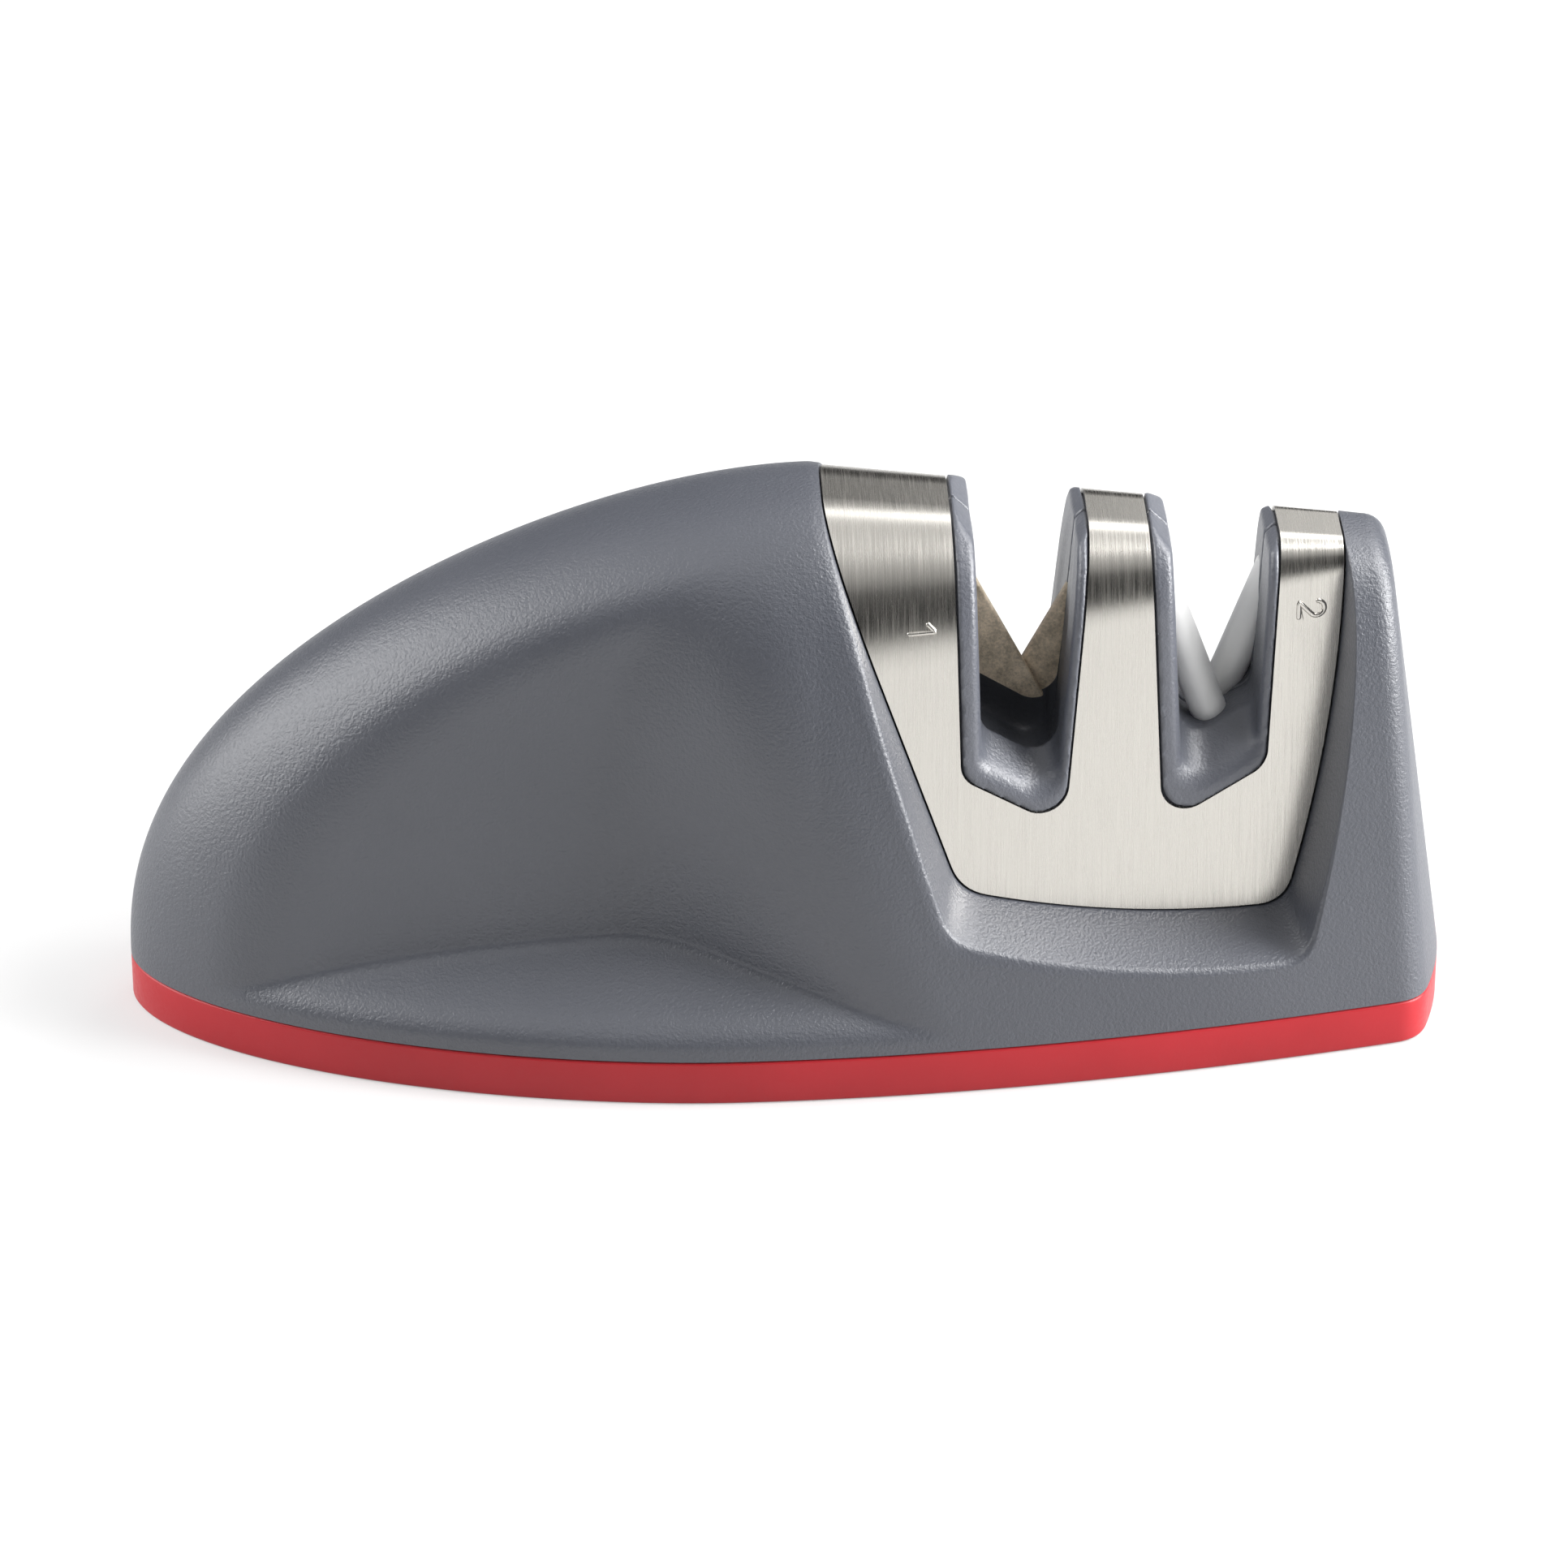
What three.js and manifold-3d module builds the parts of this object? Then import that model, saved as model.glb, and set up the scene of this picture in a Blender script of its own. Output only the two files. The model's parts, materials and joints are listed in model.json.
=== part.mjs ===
// Two-stage pull-through knife sharpener, in millimetres with +Z up.
// +X runs from the round nose of the grip to the slot end, -Y is the front, and Z = 0 is the table.
import * as THREE from 'three';
import { mergeVertices } from 'three/addons/utils/BufferGeometryUtils.js';
import Module from 'manifold-3d';

const wasm = await Module();
wasm.setup();

// Whole body
const LENGTH = 150;
const WIDTH = 54;
const WIDEST_X = -8;
const NOSE_ROUNDNESS = 1.8;
const SIDE_TAPER = 1.84;
const END_HALF_WIDTH = 16.3;
const END_SAG = 3.4;
const END_CORNER_RADIUS = 2.6;
const END_LEAN = 0.15;
const WALL = 2.4;
const FIT = 0.25;

// Sole and base plate
const SOLE_TOP = 5.6;
const SOLE_FLOOR = 1.4;
const SOLE_EDGE = 0.4;
const SEAM = 0.15;
const PLATE_THICKNESS = 2.4;
const PLATE_LIP = 1.8;
const PEG_RADIUS = 2;
const PEG_RISE = 0.8;
const PEG_PLACES = [[-32, -9], [-32, 9], [16, -14], [16, 14], [46, -11], [46, 11]];

// Head: a saddle with a flat top, coned shoulders and leaning legs
const HEAD_LEFT_X = 4.1;
const HEAD_LEFT_TOP = 63.8;
const HEAD_RIGHT_X = 62;
const HEAD_RIGHT_TOP = 57.9;
const HEAD_FLAT_HALF = 2.5;
const SHOULDER_LEFT = 12.2;
const SHOULDER_RIGHT = 2.6;
const HIP_TURN = THREE.MathUtils.degToRad(25);
const HIP_SCALE = 2.5;
const LEG_LEAN = THREE.MathUtils.degToRad(5.5);
const HEAD_LEFT_SLOPE = 0.35;
const HEAD_CORNER_Z = 21;
const HEAD_RIGHT_CORNER = [56.2, 15.2];
const HEAD_BOTTOM_SAG = 1.6;
const HEAD_RIGHT_BULGE = 1.5;
const HEAD_CORNER_RADIUS = 3;
const DRAFT_LEFT = 0.3;
const DRAFT_BELOW = 0.33;
const DRAFT_RIGHT = 0.2;
const NOTCH_WALL = 5;
const STEEL = 0.5;
const STEEL_GAP = 0.2;

// Grip
const PEAK_X = 3;
const RIDGE_RISE = 1.6;
const RIDGE_ROUNDNESS = 2.2;
const GRIP_HALF_DEPTH = 14.8;
const GRIP_LEAN = 0.02;
const GRIP_WALL_TOP = [-6.6, 55];
const GRIP_WALL_FOOT = [10.5, 12];
const GRIP_WALL_SLOPE = 0.47;
const LEDGE_FOOT = 8.4;
const LEDGE_SLOPE = 1.84;
const GRIP_BLEND = 3;
const ARCH_TOP_POWER = 2.8;
const ARCH_SIDE_POWER = 1;
const ARCH_LEAN = 0.33;

// Knife slots: corners of the openings in the steel, from the top left round the floor to the top right
const COARSE_SLOT = {
  opening: [[17.9, 70], [19.05, 34.4], [30.9, 27.1], [34.3, 70]],
  lip: 3.2,
  well: 7,
};
const FINE_SLOT = {
  opening: [[39.7, 70], [41.95, 26.1], [53.85, 32.3], [55.45, 70]],
  lip: 4.1,
  well: 0,
};
const SLOTS = [COARSE_SLOT, FINE_SLOT];
const OPENING_RADIUS = 3.1;
const FLOOR_SHARPENING = 0.2;
const RIMS = [2.4, 2.2, 1.3];
const RIM_PROUD = 0.5;
const RIM_DROP = 0.4;
const LIP_DEPTH = 4.5;
const WELL_RUN = 3;
const LEAD_IN = 1.7;

// Abrasives: crossing points of the sharpening edges, tilt from the vertical and reach along each piece
const COARSE_CROSSING = [26.9, 41.7];
const COARSE_TILT = THREE.MathUtils.degToRad(27.5);
const COARSE_WIDTH = 6.4;
const COARSE_THICKNESS = 1.2;
const BAR_FOOT = 6;
const BAR_HOLD = 0.6;
const COARSE_UP = 15.5;
const COARSE_DOWN = 11;
const FINE_CROSSING = [48.5, 39.9];
const FINE_TILT = THREE.MathUtils.degToRad(20);
const FINE_DIAMETER = 4.2;
const FINE_UP = 14;
const FINE_DOWN = 10.5;
const CROSSING_GAP = 0.15;
const POCKET_GAP = 0.25;

// Screws: head radius, head height and shank radius
const SCREW = { head: 2.7, height: 1.9, shank: 1.4 };
const SCREW_GAP = 0.25;
const NOSE_SCREW_INSET = 25;
const GRIP_SCREW = [-20, 11.5];
const END_SCREW_INSET = 8.4;
const END_SCREW_SIDE = 9.5;
const END_SCREW = [LENGTH / 2 - END_SCREW_INSET, END_SCREW_SIDE];
const BASE_SCREW_PLACES = [
  [NOSE_SCREW_INSET - LENGTH / 2, 0],
  [GRIP_SCREW[0], -GRIP_SCREW[1]],
  GRIP_SCREW,
  [END_SCREW[0], -END_SCREW[1]],
  END_SCREW,
];
const BASE_SCREW_LENGTH = 11;
const BOSS_RADIUS = 3.6;
const BOSS_TOPS = [60, 40, 40, 30, 30];
const PAD_RADIUS = 4.4;
const CORE_SCREW_EDGE = 4.4;
const CORE_SCREW_HIGH = 48;
const CORE_SCREW_LOW = [36.6, 23.5];
const CORE_SCREW_RIGHT = [57.6, 40];
const CORE_SCREW_PLACES = [
  [HEAD_LEFT_X + (HEAD_LEFT_TOP - CORE_SCREW_HIGH) * HEAD_LEFT_SLOPE + CORE_SCREW_EDGE, CORE_SCREW_HIGH],
  CORE_SCREW_LOW,
  CORE_SCREW_RIGHT,
];
const CORE_SCREW_LENGTH = 6.5;
const HEAD_SCREW_PLACES = [[28, -6.2], [46, 5.6]];
const HEAD_SCREW_LENGTH = 12;
const HEAD_SCREW_SEAT = 4.5;

// Finishes
const FINISHES = {
  shell: { color: 0x63676f, roughness: 0.5, metalness: 0 },
  sole: { color: 0xb23640, roughness: 0.45, metalness: 0 },
  steel: { color: 0xc8c3ba, roughness: 0.3, metalness: 1 },
  grit: { color: 0x857a69, roughness: 0.85, metalness: 0.2 },
  ceramic: { color: 0xeceae6, roughness: 0.35, metalness: 0 },
  screw: { color: 0x9a9da1, roughness: 0.4, metalness: 1 },
};

const group = new THREE.Group();

// Solids from meshes, and meshes from solids

function signedVolume(positions, triangles) {
  const a = new THREE.Vector3();
  const b = new THREE.Vector3();
  const c = new THREE.Vector3();
  let sum = 0;
  for (let i = 0; i < triangles.length; i += 3) {
    a.fromArray(positions, triangles[i] * 3);
    b.fromArray(positions, triangles[i + 1] * 3);
    c.fromArray(positions, triangles[i + 2] * 3);
    sum += a.dot(b.cross(c));
  }
  return sum / 6;
}

function toSolid(geometry) {
  const bare = new THREE.BufferGeometry();
  bare.setAttribute('position', geometry.getAttribute('position'));
  bare.setIndex(geometry.getIndex());
  const merged = mergeVertices(bare, 1e-4);
  const positions = merged.getAttribute('position').array;
  const index = merged.getIndex().array;
  const triangles = [];
  for (let i = 0; i < index.length; i += 3) {
    const [a, b, c] = [index[i], index[i + 1], index[i + 2]];
    if (a !== b && b !== c && c !== a) triangles.push(a, b, c);
  }
  if (signedVolume(positions, triangles) < 0) triangles.reverse();
  return new wasm.Manifold(new wasm.Mesh({
    numProp: 3,
    vertProperties: Float32Array.from(positions),
    triVerts: Uint32Array.from(triangles),
  }));
}

function addPart(name, solid, finish) {
  const mesh = solid.getMesh();
  const geometry = new THREE.BufferGeometry();
  geometry.setAttribute('position', new THREE.BufferAttribute(mesh.vertProperties, 3));
  geometry.setIndex(new THREE.BufferAttribute(mesh.triVerts, 1));
  geometry.computeVertexNormals();
  const part = new THREE.Mesh(geometry, new THREE.MeshStandardMaterial(FINISHES[finish]));
  part.name = name;
  group.add(part);
}

// A closed solid through rings of equally many points; the end rings are filled in the plane that flat gives
function ringSolid(rings, flat) {
  const count = rings[0].length;
  const triangles = [];
  for (let r = 0; r + 1 < rings.length; r += 1) {
    for (let i = 0; i < count; i += 1) {
      const j = (i + 1) % count;
      const [a, b] = [r * count + i, r * count + j];
      triangles.push(a, b, b + count, a, b + count, a + count);
    }
  }
  const fill = (ring, start, flip) => {
    const faces = THREE.ShapeUtils.triangulateShape(ring.map(flat), []);
    for (const [a, b, c] of faces) {
      const corners = flip ? [c, b, a] : [a, b, c];
      triangles.push(...corners.map((corner) => corner + start));
    }
  };
  const turn = THREE.ShapeUtils.isClockWise(rings[0].map(flat));
  fill(rings[0], 0, !turn);
  fill(rings.at(-1), (rings.length - 1) * count, turn);
  const geometry = new THREE.BufferGeometry();
  geometry.setFromPoints(rings.flat());
  geometry.setIndex(triangles);
  return toSolid(geometry);
}

const flatXY = (p) => new THREE.Vector2(p.x, p.y);
const flatXZ = (p) => new THREE.Vector2(p.x, p.z);
const flatYZ = (p) => new THREE.Vector2(p.y, p.z);

function upright(radius, x, y, low, high, sides = 14) {
  const cylinder = new THREE.CylinderGeometry(radius, radius, high - low, sides);
  cylinder.rotateX(Math.PI / 2);
  cylinder.translate(x, y, (low + high) / 2);
  return toSolid(cylinder);
}

function through(radius, x, z, near, far, sides = 14) {
  const cylinder = new THREE.CylinderGeometry(radius, radius, far - near, sides);
  cylinder.translate(x, (near + far) / 2, z);
  return toSolid(cylinder);
}

const lerp = THREE.MathUtils.lerp;
const clamp = THREE.MathUtils.clamp;

// Plan of the body: half width along X, and the outline from the nose tip along the front to the end tip

const endX = (y, inset) => LENGTH / 2 - inset - END_SAG * (y / END_HALF_WIDTH) ** 2;
const cornerX = (inset) => endX(END_HALF_WIDTH - inset, inset);

function halfWidth(x, inset) {
  const half = WIDTH / 2 - inset;
  if (x <= WIDEST_X) {
    const u = (WIDEST_X - x) / (WIDEST_X + LENGTH / 2 - inset);
    return half * Math.max(0, 1 - u ** NOSE_ROUNDNESS) ** (1 / NOSE_ROUNDNESS);
  }
  const t = (x - WIDEST_X) / (cornerX(inset) - WIDEST_X);
  return half - (WIDTH / 2 - END_HALF_WIDTH) * t ** SIDE_TAPER;
}

function corner(from, at, to, steps) {
  const curve = new THREE.QuadraticBezierCurve(from, at, to);
  return curve.getPoints(steps);
}

function frontOutline(inset, steps) {
  const points = [];
  const nose = WIDEST_X + LENGTH / 2 - inset;
  for (let i = 0; i < steps.nose; i += 1) {
    const x = WIDEST_X - nose * Math.cos((i / steps.nose) * Math.PI / 2);
    points.push(new THREE.Vector2(x, halfWidth(x, inset)));
  }
  const last = cornerX(inset) - END_CORNER_RADIUS;
  for (let i = 0; i < steps.side; i += 1) {
    const x = lerp(WIDEST_X, last, i / steps.side);
    points.push(new THREE.Vector2(x, halfWidth(x, inset)));
  }
  const half = END_HALF_WIDTH - inset;
  const low = half - END_CORNER_RADIUS;
  const from = new THREE.Vector2(last, halfWidth(last, inset));
  const at = new THREE.Vector2(cornerX(inset), half);
  const to = new THREE.Vector2(endX(low, inset), low);
  points.push(...corner(from, at, to, steps.corner));
  for (let i = 1; i <= steps.end; i += 1) {
    const y = low * (1 - i / steps.end);
    points.push(new THREE.Vector2(endX(y, inset), y));
  }
  return points;
}

const PLATE_STEPS = { nose: 12, side: 14, corner: 3, end: 4 };

function planRing(inset, z) {
  const front = frontOutline(inset, PLATE_STEPS);
  const back = front.slice(1, -1).reverse();
  const ring = front.map((p) => new THREE.Vector3(p.x, -p.y, z));
  return ring.concat(back.map((p) => new THREE.Vector3(p.x, p.y, z)));
}

const slab = (inset, low, high) => ringSolid([planRing(inset, low), planRing(inset, high)], flatXY);

// Head surface: top line, shoulder radius and half depth of the saddle

const headPart = (x) => (x - HEAD_LEFT_X) / (HEAD_RIGHT_X - HEAD_LEFT_X);
const headTop = (x) => lerp(HEAD_LEFT_TOP, HEAD_RIGHT_TOP, headPart(x));
const shoulder = (x) => lerp(SHOULDER_LEFT, SHOULDER_RIGHT, headPart(x));

function headHalfDepth(x, z) {
  const radius = shoulder(x);
  const hip = radius * HIP_SCALE;
  const centre = headTop(x) - radius;
  const hipTop = centre + radius * Math.sin(HIP_TURN);
  if (z > hipTop) return HEAD_FLAT_HALF + Math.sqrt(Math.max(0, radius ** 2 - (z - centre) ** 2));
  const hipCentre = hipTop - hip * Math.sin(HIP_TURN);
  const hipStart = HEAD_FLAT_HALF + (radius - hip) * Math.cos(HIP_TURN);
  const legTop = hipCentre + hip * Math.sin(LEG_LEAN);
  if (z > legTop) return hipStart + Math.sqrt(hip ** 2 - (z - hipCentre) ** 2);
  return hipStart + hip * Math.cos(LEG_LEAN) + (legTop - z) * Math.tan(LEG_LEAN);
}

// Outer surface of the housing: ridge line, arch of each cross section and the finger recess

const RIDGE_PEAK = headTop(PEAK_X);
const topCornerX = (inset) => LENGTH / 2 - inset - END_LEAN * (headTop(HEAD_RIGHT_X) - SOLE_TOP);

function ridge(x, inset) {
  if (x > PEAK_X) return headTop(x) - inset;
  const u = (PEAK_X - x) / (PEAK_X + LENGTH / 2 - inset);
  const rise = RIDGE_PEAK - inset - SOLE_TOP;
  return SOLE_TOP + rise * Math.max(0, 1 - u ** RIDGE_RISE) ** (1 / RIDGE_ROUNDNESS);
}

function arch(x, s) {
  const k = clamp((x + LENGTH / 2) / (PEAK_X + LENGTH / 2), 0, 1) ** 2;
  const top = 2 + ARCH_TOP_POWER * k;
  const side = 2 + ARCH_SIDE_POWER * k;
  return (1 - ARCH_LEAN * k * s) * Math.max(0, 1 - s ** top) ** (1 / side);
}

// Smooth lower and upper envelope of two values
function softMin(a, b, blend) {
  const h = clamp(0.5 + (b - a) / (2 * blend), 0, 1);
  return lerp(b, a, h) - blend * h * (1 - h);
}
const softMax = (a, b, blend) => -softMin(-a, -b, blend);

function recessHalfDepth(x, z, plain, foot, inset) {
  const floor = GRIP_HALF_DEPTH - GRIP_LEAN * (z - LEDGE_FOOT);
  const climb = (z - GRIP_WALL_FOOT[1]) / (GRIP_WALL_TOP[1] - GRIP_WALL_FOOT[1]);
  const wallX = lerp(GRIP_WALL_FOOT[0], GRIP_WALL_TOP[0], climb);
  const side = plain + (x - wallX) * GRIP_WALL_SLOPE;
  const ledge = foot - (z + inset * 0.7 - LEDGE_FOOT) * LEDGE_SLOPE;
  return softMax(softMax(floor - inset, side, GRIP_BLEND), ledge - inset, GRIP_BLEND / 2);
}

function outerHalfDepth(x, z, inset, base) {
  const s = clamp((z - SOLE_TOP) / (ridge(x, inset) - SOLE_TOP), 0, 1);
  return base * arch(x, s);
}

function bodyHalfDepth(x, z, inset, base) {
  const plain = outerHalfDepth(x, z, inset, base);
  const recess = recessHalfDepth(x, z, plain, halfWidth(x, 0), inset);
  const blend = Math.min(GRIP_BLEND, plain / 2);
  return blend > 0 ? Math.min(plain, softMin(plain, recess, blend)) : 0;
}

// The body as sections from the front foot over the ridge to the back foot, from the nose to the end
function bodySolid(inset, steps, low) {
  const outline = frontOutline(inset, steps);
  const ends = steps.corner + steps.end;
  const lastSide = outline.length - 1 - ends;
  const startX = outline[lastSide].x;
  const endTop = topCornerX(inset) - END_CORNER_RADIUS;
  const shiftFrom = HEAD_RIGHT_X - END_CORNER_RADIUS * 4;
  const topZ = ridge(endTop, inset);
  const endTopZ = topZ - END_CORNER_RADIUS;
  const endLine = (z) => LENGTH / 2 - inset - END_LEAN * (z - SOLE_TOP);
  const topCurve = corner(
    new THREE.Vector2(endTop, topZ),
    new THREE.Vector2(endLine(topZ), topZ),
    new THREE.Vector2(endLine(endTopZ), endTopZ),
    steps.corner,
  );
  const rows = outline.map((foot, i) => {
    let crest = new THREE.Vector2(foot.x, 0);
    if (i > lastSide + steps.corner) {
      const z = lerp(SOLE_TOP, endTopZ, (outline.length - 1 - i) / steps.end);
      crest.set(endLine(z), z);
    } else if (i >= lastSide) {
      crest = topCurve[i - lastSide];
    } else {
      if (foot.x > shiftFrom) {
        crest.x = lerp(shiftFrom, endTop, (foot.x - shiftFrom) / (startX - shiftFrom));
      }
      crest.y = ridge(crest.x, inset);
    }
    const half = [];
    for (let j = 0; j <= steps.arch; j += 1) {
      const s = (1 - Math.cos((Math.PI * j) / steps.arch)) / 2;
      const x = lerp(foot.x, crest.x, s);
      const z = lerp(SOLE_TOP, crest.y, s);
      const y = foot.x < HEAD_RIGHT_X / 2 ? bodyHalfDepth(x, z, inset, foot.y) : foot.y * arch(x, s);
      half.push(new THREE.Vector3(x, -(j === steps.arch ? 0 : y), j === 0 ? low : z));
    }
    const back = half.slice(0, -1).reverse().map((p) => new THREE.Vector3(p.x, -p.y, p.z));
    return half.concat(back);
  });
  const across = rows[0].length;
  const triangles = [];
  for (let i = 0; i + 1 < rows.length; i += 1) {
    for (let j = 0; j < across; j += 1) {
      const next = (j + 1) % across;
      const [a, b] = [i * across + j, i * across + next];
      triangles.push(a, b, b + across, a, b + across, a + across);
    }
  }
  const geometry = new THREE.BufferGeometry();
  geometry.setFromPoints(rows.flat());
  geometry.setIndex(triangles);
  return toSolid(geometry);
}

// Front view of the head: left edge, curved bottom and bulging right edge, moved outward by the three amounts
function headOutline(left, below, right) {
  const top = HEAD_LEFT_TOP + SHOULDER_LEFT;
  const leftX = (z) => HEAD_LEFT_X + (HEAD_LEFT_TOP - z) * HEAD_LEFT_SLOPE - left;
  const lowLeft = new THREE.Vector2(leftX(HEAD_CORNER_Z - below), HEAD_CORNER_Z - below);
  const lowRight = new THREE.Vector2(HEAD_RIGHT_CORNER[0] + right, HEAD_RIGHT_CORNER[1] - below);
  const highRight = new THREE.Vector2(HEAD_RIGHT_X + right, HEAD_RIGHT_TOP);
  const sag = new THREE.Vector2(0, -2 * HEAD_BOTTOM_SAG);
  const bulge = new THREE.Vector2(2 * HEAD_RIGHT_BULGE, 0);
  const middle = (a, b) => a.clone().add(b).multiplyScalar(0.5);
  const bottom = new THREE.QuadraticBezierCurve(lowLeft, middle(lowLeft, lowRight).add(sag), lowRight);
  const side = new THREE.QuadraticBezierCurve(lowRight, middle(lowRight, highRight).add(bulge), highRight);
  const points = [new THREE.Vector2(leftX(top), top)];
  for (let i = 1; i < 10; i += 1) {
    const z = lerp(HEAD_LEFT_TOP, lowLeft.y + HEAD_CORNER_RADIUS, (i / 10) ** 2);
    points.push(new THREE.Vector2(leftX(z), z));
  }
  const cut = HEAD_CORNER_RADIUS / bottom.getLength();
  const rise = HEAD_CORNER_RADIUS / side.getLength();
  const before = new THREE.Vector2(leftX(lowLeft.y + HEAD_CORNER_RADIUS), lowLeft.y + HEAD_CORNER_RADIUS);
  points.push(...corner(before, lowLeft, bottom.getPoint(cut), 4));
  for (let i = 1; i < 8; i += 1) points.push(bottom.getPoint(lerp(cut, 1 - cut, i / 8)));
  points.push(...corner(bottom.getPoint(1 - cut), lowRight, side.getPoint(rise), 4));
  for (let i = 1; i <= 10; i += 1) {
    const part = Math.sin((i / 10) * Math.PI / 2);
    points.push(side.getPoint(lerp(rise, 1, part)));
  }
  points.push(new THREE.Vector2(HEAD_RIGHT_X + right, top));
  return points;
}

const prism = (points, near, far) => ringSolid(
  [near, far].map((y) => points.map((p) => new THREE.Vector3(p.x, y, p.y))),
  flatXZ,
);

// The notch in the housing: straight where the head stands, then drafted outward past the housing's surface
function notchSolid() {
  const drafts = [DRAFT_LEFT, DRAFT_BELOW, DRAFT_RIGHT];
  const inner = headOutline(FIT, FIT, FIT);
  const perDepth = headOutline(...drafts.map((draft) => FIT + draft));
  const rings = inner.map((p, i) => {
    const seat = headHalfDepth(p.x, Math.min(p.y, headTop(p.x)));
    const surface = outerHalfDepth(p.x, p.y, 0, halfWidth(p.x, 0));
    const drafted = (depth) => {
      const point = p.clone().lerp(perDepth[i], depth - seat);
      return new THREE.Vector3(point.x, -depth, point.y);
    };
    const past = drafted(Math.max(surface, seat) + WALL);
    return [new THREE.Vector3(past.x, -WIDTH, past.z), past, drafted(seat)];
  });
  const front = [0, 1, 2].map((k) => rings.map((ring) => ring[k]));
  const back = front.map((ring) => ring.map((p) => new THREE.Vector3(p.x, -p.y, p.z)));
  return ringSolid([...front, ...back.reverse()], flatXZ);
}

// The saddle between its two end sections, moved inward by depth and lowered by drop
function saddle(depth, spare, drop = 0) {
  const section = (x) => {
    const half = [];
    const arc = (y, z, radius, from, to, steps) => {
      for (let i = 1; i <= steps; i += 1) {
        const turn = lerp(from, to, i / steps);
        const along = radius * (Math.cos(turn) - Math.cos(from));
        half.push(new THREE.Vector3(x, y + along, z + radius * (Math.sin(turn) - Math.sin(from))));
      }
    };
    half.push(new THREE.Vector3(x, HEAD_FLAT_HALF, headTop(x) - depth - drop));
    arc(half[0].y, half[0].z, shoulder(x) - depth, Math.PI / 2, HIP_TURN, 8);
    const hip = half.at(-1);
    arc(hip.y, hip.z, shoulder(x) * HIP_SCALE - depth, HIP_TURN, LEG_LEAN, 4);
    const leg = half.at(-1);
    half.push(new THREE.Vector3(x, leg.y + leg.z * Math.tan(LEG_LEAN), 0));
    const front = half.map((p) => new THREE.Vector3(p.x, -p.y, p.z)).reverse();
    return front.concat(half);
  };
  return ringSolid([section(HEAD_LEFT_X - spare), section(HEAD_RIGHT_X + spare)], flatYZ);
}

// Corners of a knife slot with its left, lower and right edges moved inward and its floor raised by lift
function slotCorners(opening, insets, lift) {
  const lines = opening.slice(0, -1).map((p, i) => {
    const from = new THREE.Vector2(...p);
    const along = new THREE.Vector2(...opening[i + 1]).sub(from).normalize();
    const normal = new THREE.Vector2(-along.y, along.x);
    return { from: from.addScaledVector(normal, insets[i]), along };
  });
  const meet = (a, b) => {
    const gap = b.from.clone().sub(a.from);
    const t = gap.cross(b.along) / a.along.cross(b.along);
    return a.from.clone().addScaledVector(a.along, t);
  };
  const lowLeft = meet(lines[0], lines[1]);
  const lowRight = meet(lines[1], lines[2]);
  const last = new THREE.Vector2(...opening[3]);
  const rightNormal = new THREE.Vector2(-lines[2].along.y, lines[2].along.x);
  last.addScaledVector(rightNormal, insets[2]);
  lowLeft.y += lift;
  lowRight.y += lift;
  return [lines[0].from, lowLeft, lowRight, last];
}

// Rounded outline of a slot, with lead-in chamfers at the top where lead is above zero
function slotOutline(opening, insets, lift = 0, lead = 0) {
  const [topLeft, lowLeft, lowRight, topRight] = slotCorners(opening, insets, lift);
  const toward = (from, to, distance) => {
    const along = to.clone().sub(from).normalize();
    return from.clone().addScaledVector(along, distance);
  };
  const rounded = (before, at, after) => {
    const a = before.clone().sub(at);
    const b = after.clone().sub(at);
    const bend = Math.acos(a.dot(b) / (a.length() * b.length()));
    const radius = OPENING_RADIUS - FLOOR_SHARPENING * insets[1];
    const reach = radius / Math.tan(bend / 2);
    const middle = a.normalize().add(b.normalize()).normalize();
    const centre = at.clone().addScaledVector(middle, radius / Math.sin(bend / 2));
    const from = toward(at, before, reach).sub(centre);
    const to = toward(at, after, reach).sub(centre);
    const sweep = Math.PI - bend;
    return Array.from({ length: 6 }, (_, i) => {
      const point = from.clone().multiplyScalar(Math.sin(sweep * (1 - i / 5)) / Math.sin(sweep));
      return point.addScaledVector(to, Math.sin(sweep * i / 5) / Math.sin(sweep)).add(centre);
    });
  };
  const points = [];
  const rim = (low, high, side) => {
    const z = headTop((low.x + high.x) / 2) + RIM_PROUD - RIM_DROP;
    const onEdge = (height) => toward(low, high, (height - low.y) * low.distanceTo(high) / (high.y - low.y));
    const start = onEdge(z - LEAD_IN);
    const end = onEdge(z + LEAD_IN);
    end.x += side * 2 * lead;
    return [start, end];
  };
  const [leftStart, leftEnd] = rim(lowLeft, topLeft, -1);
  const [rightStart, rightEnd] = rim(lowRight, topRight, 1);
  points.push(new THREE.Vector2(leftEnd.x, topLeft.y), leftEnd, leftStart);
  points.push(...rounded(topLeft, lowLeft, lowRight));
  points.push(...rounded(lowLeft, lowRight, topRight));
  points.push(rightStart, rightEnd, new THREE.Vector2(rightEnd.x, topRight.y));
  return points;
}

// A slot right through the core: the floor rises behind a lip at each face, then falls into the well
function slotCutter({ opening, lip, well }) {
  const middleX = (opening[1][0] + opening[2][0]) / 2;
  const middleZ = (opening[1][1] + opening[2][1]) / 2;
  const face = headHalfDepth(middleX, middleZ);
  const stations = [
    { y: -2 * face, lift: -lip },
    { y: -face, lift: 0 },
    { y: LIP_DEPTH - face, lift: lip },
    { y: LIP_DEPTH + WELL_RUN - face, lift: lip - well },
    { y: 0, lift: lip - well },
  ];
  const back = stations.slice(0, -1).reverse().map((s) => ({ ...s, y: -s.y }));
  const rings = stations.concat(back).map((s) => slotOutline(opening, RIMS, s.lift, LEAD_IN)
    .map((p) => new THREE.Vector3(p.x, s.y, p.y)));
  return ringSolid(rings, flatXZ);
}

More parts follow.
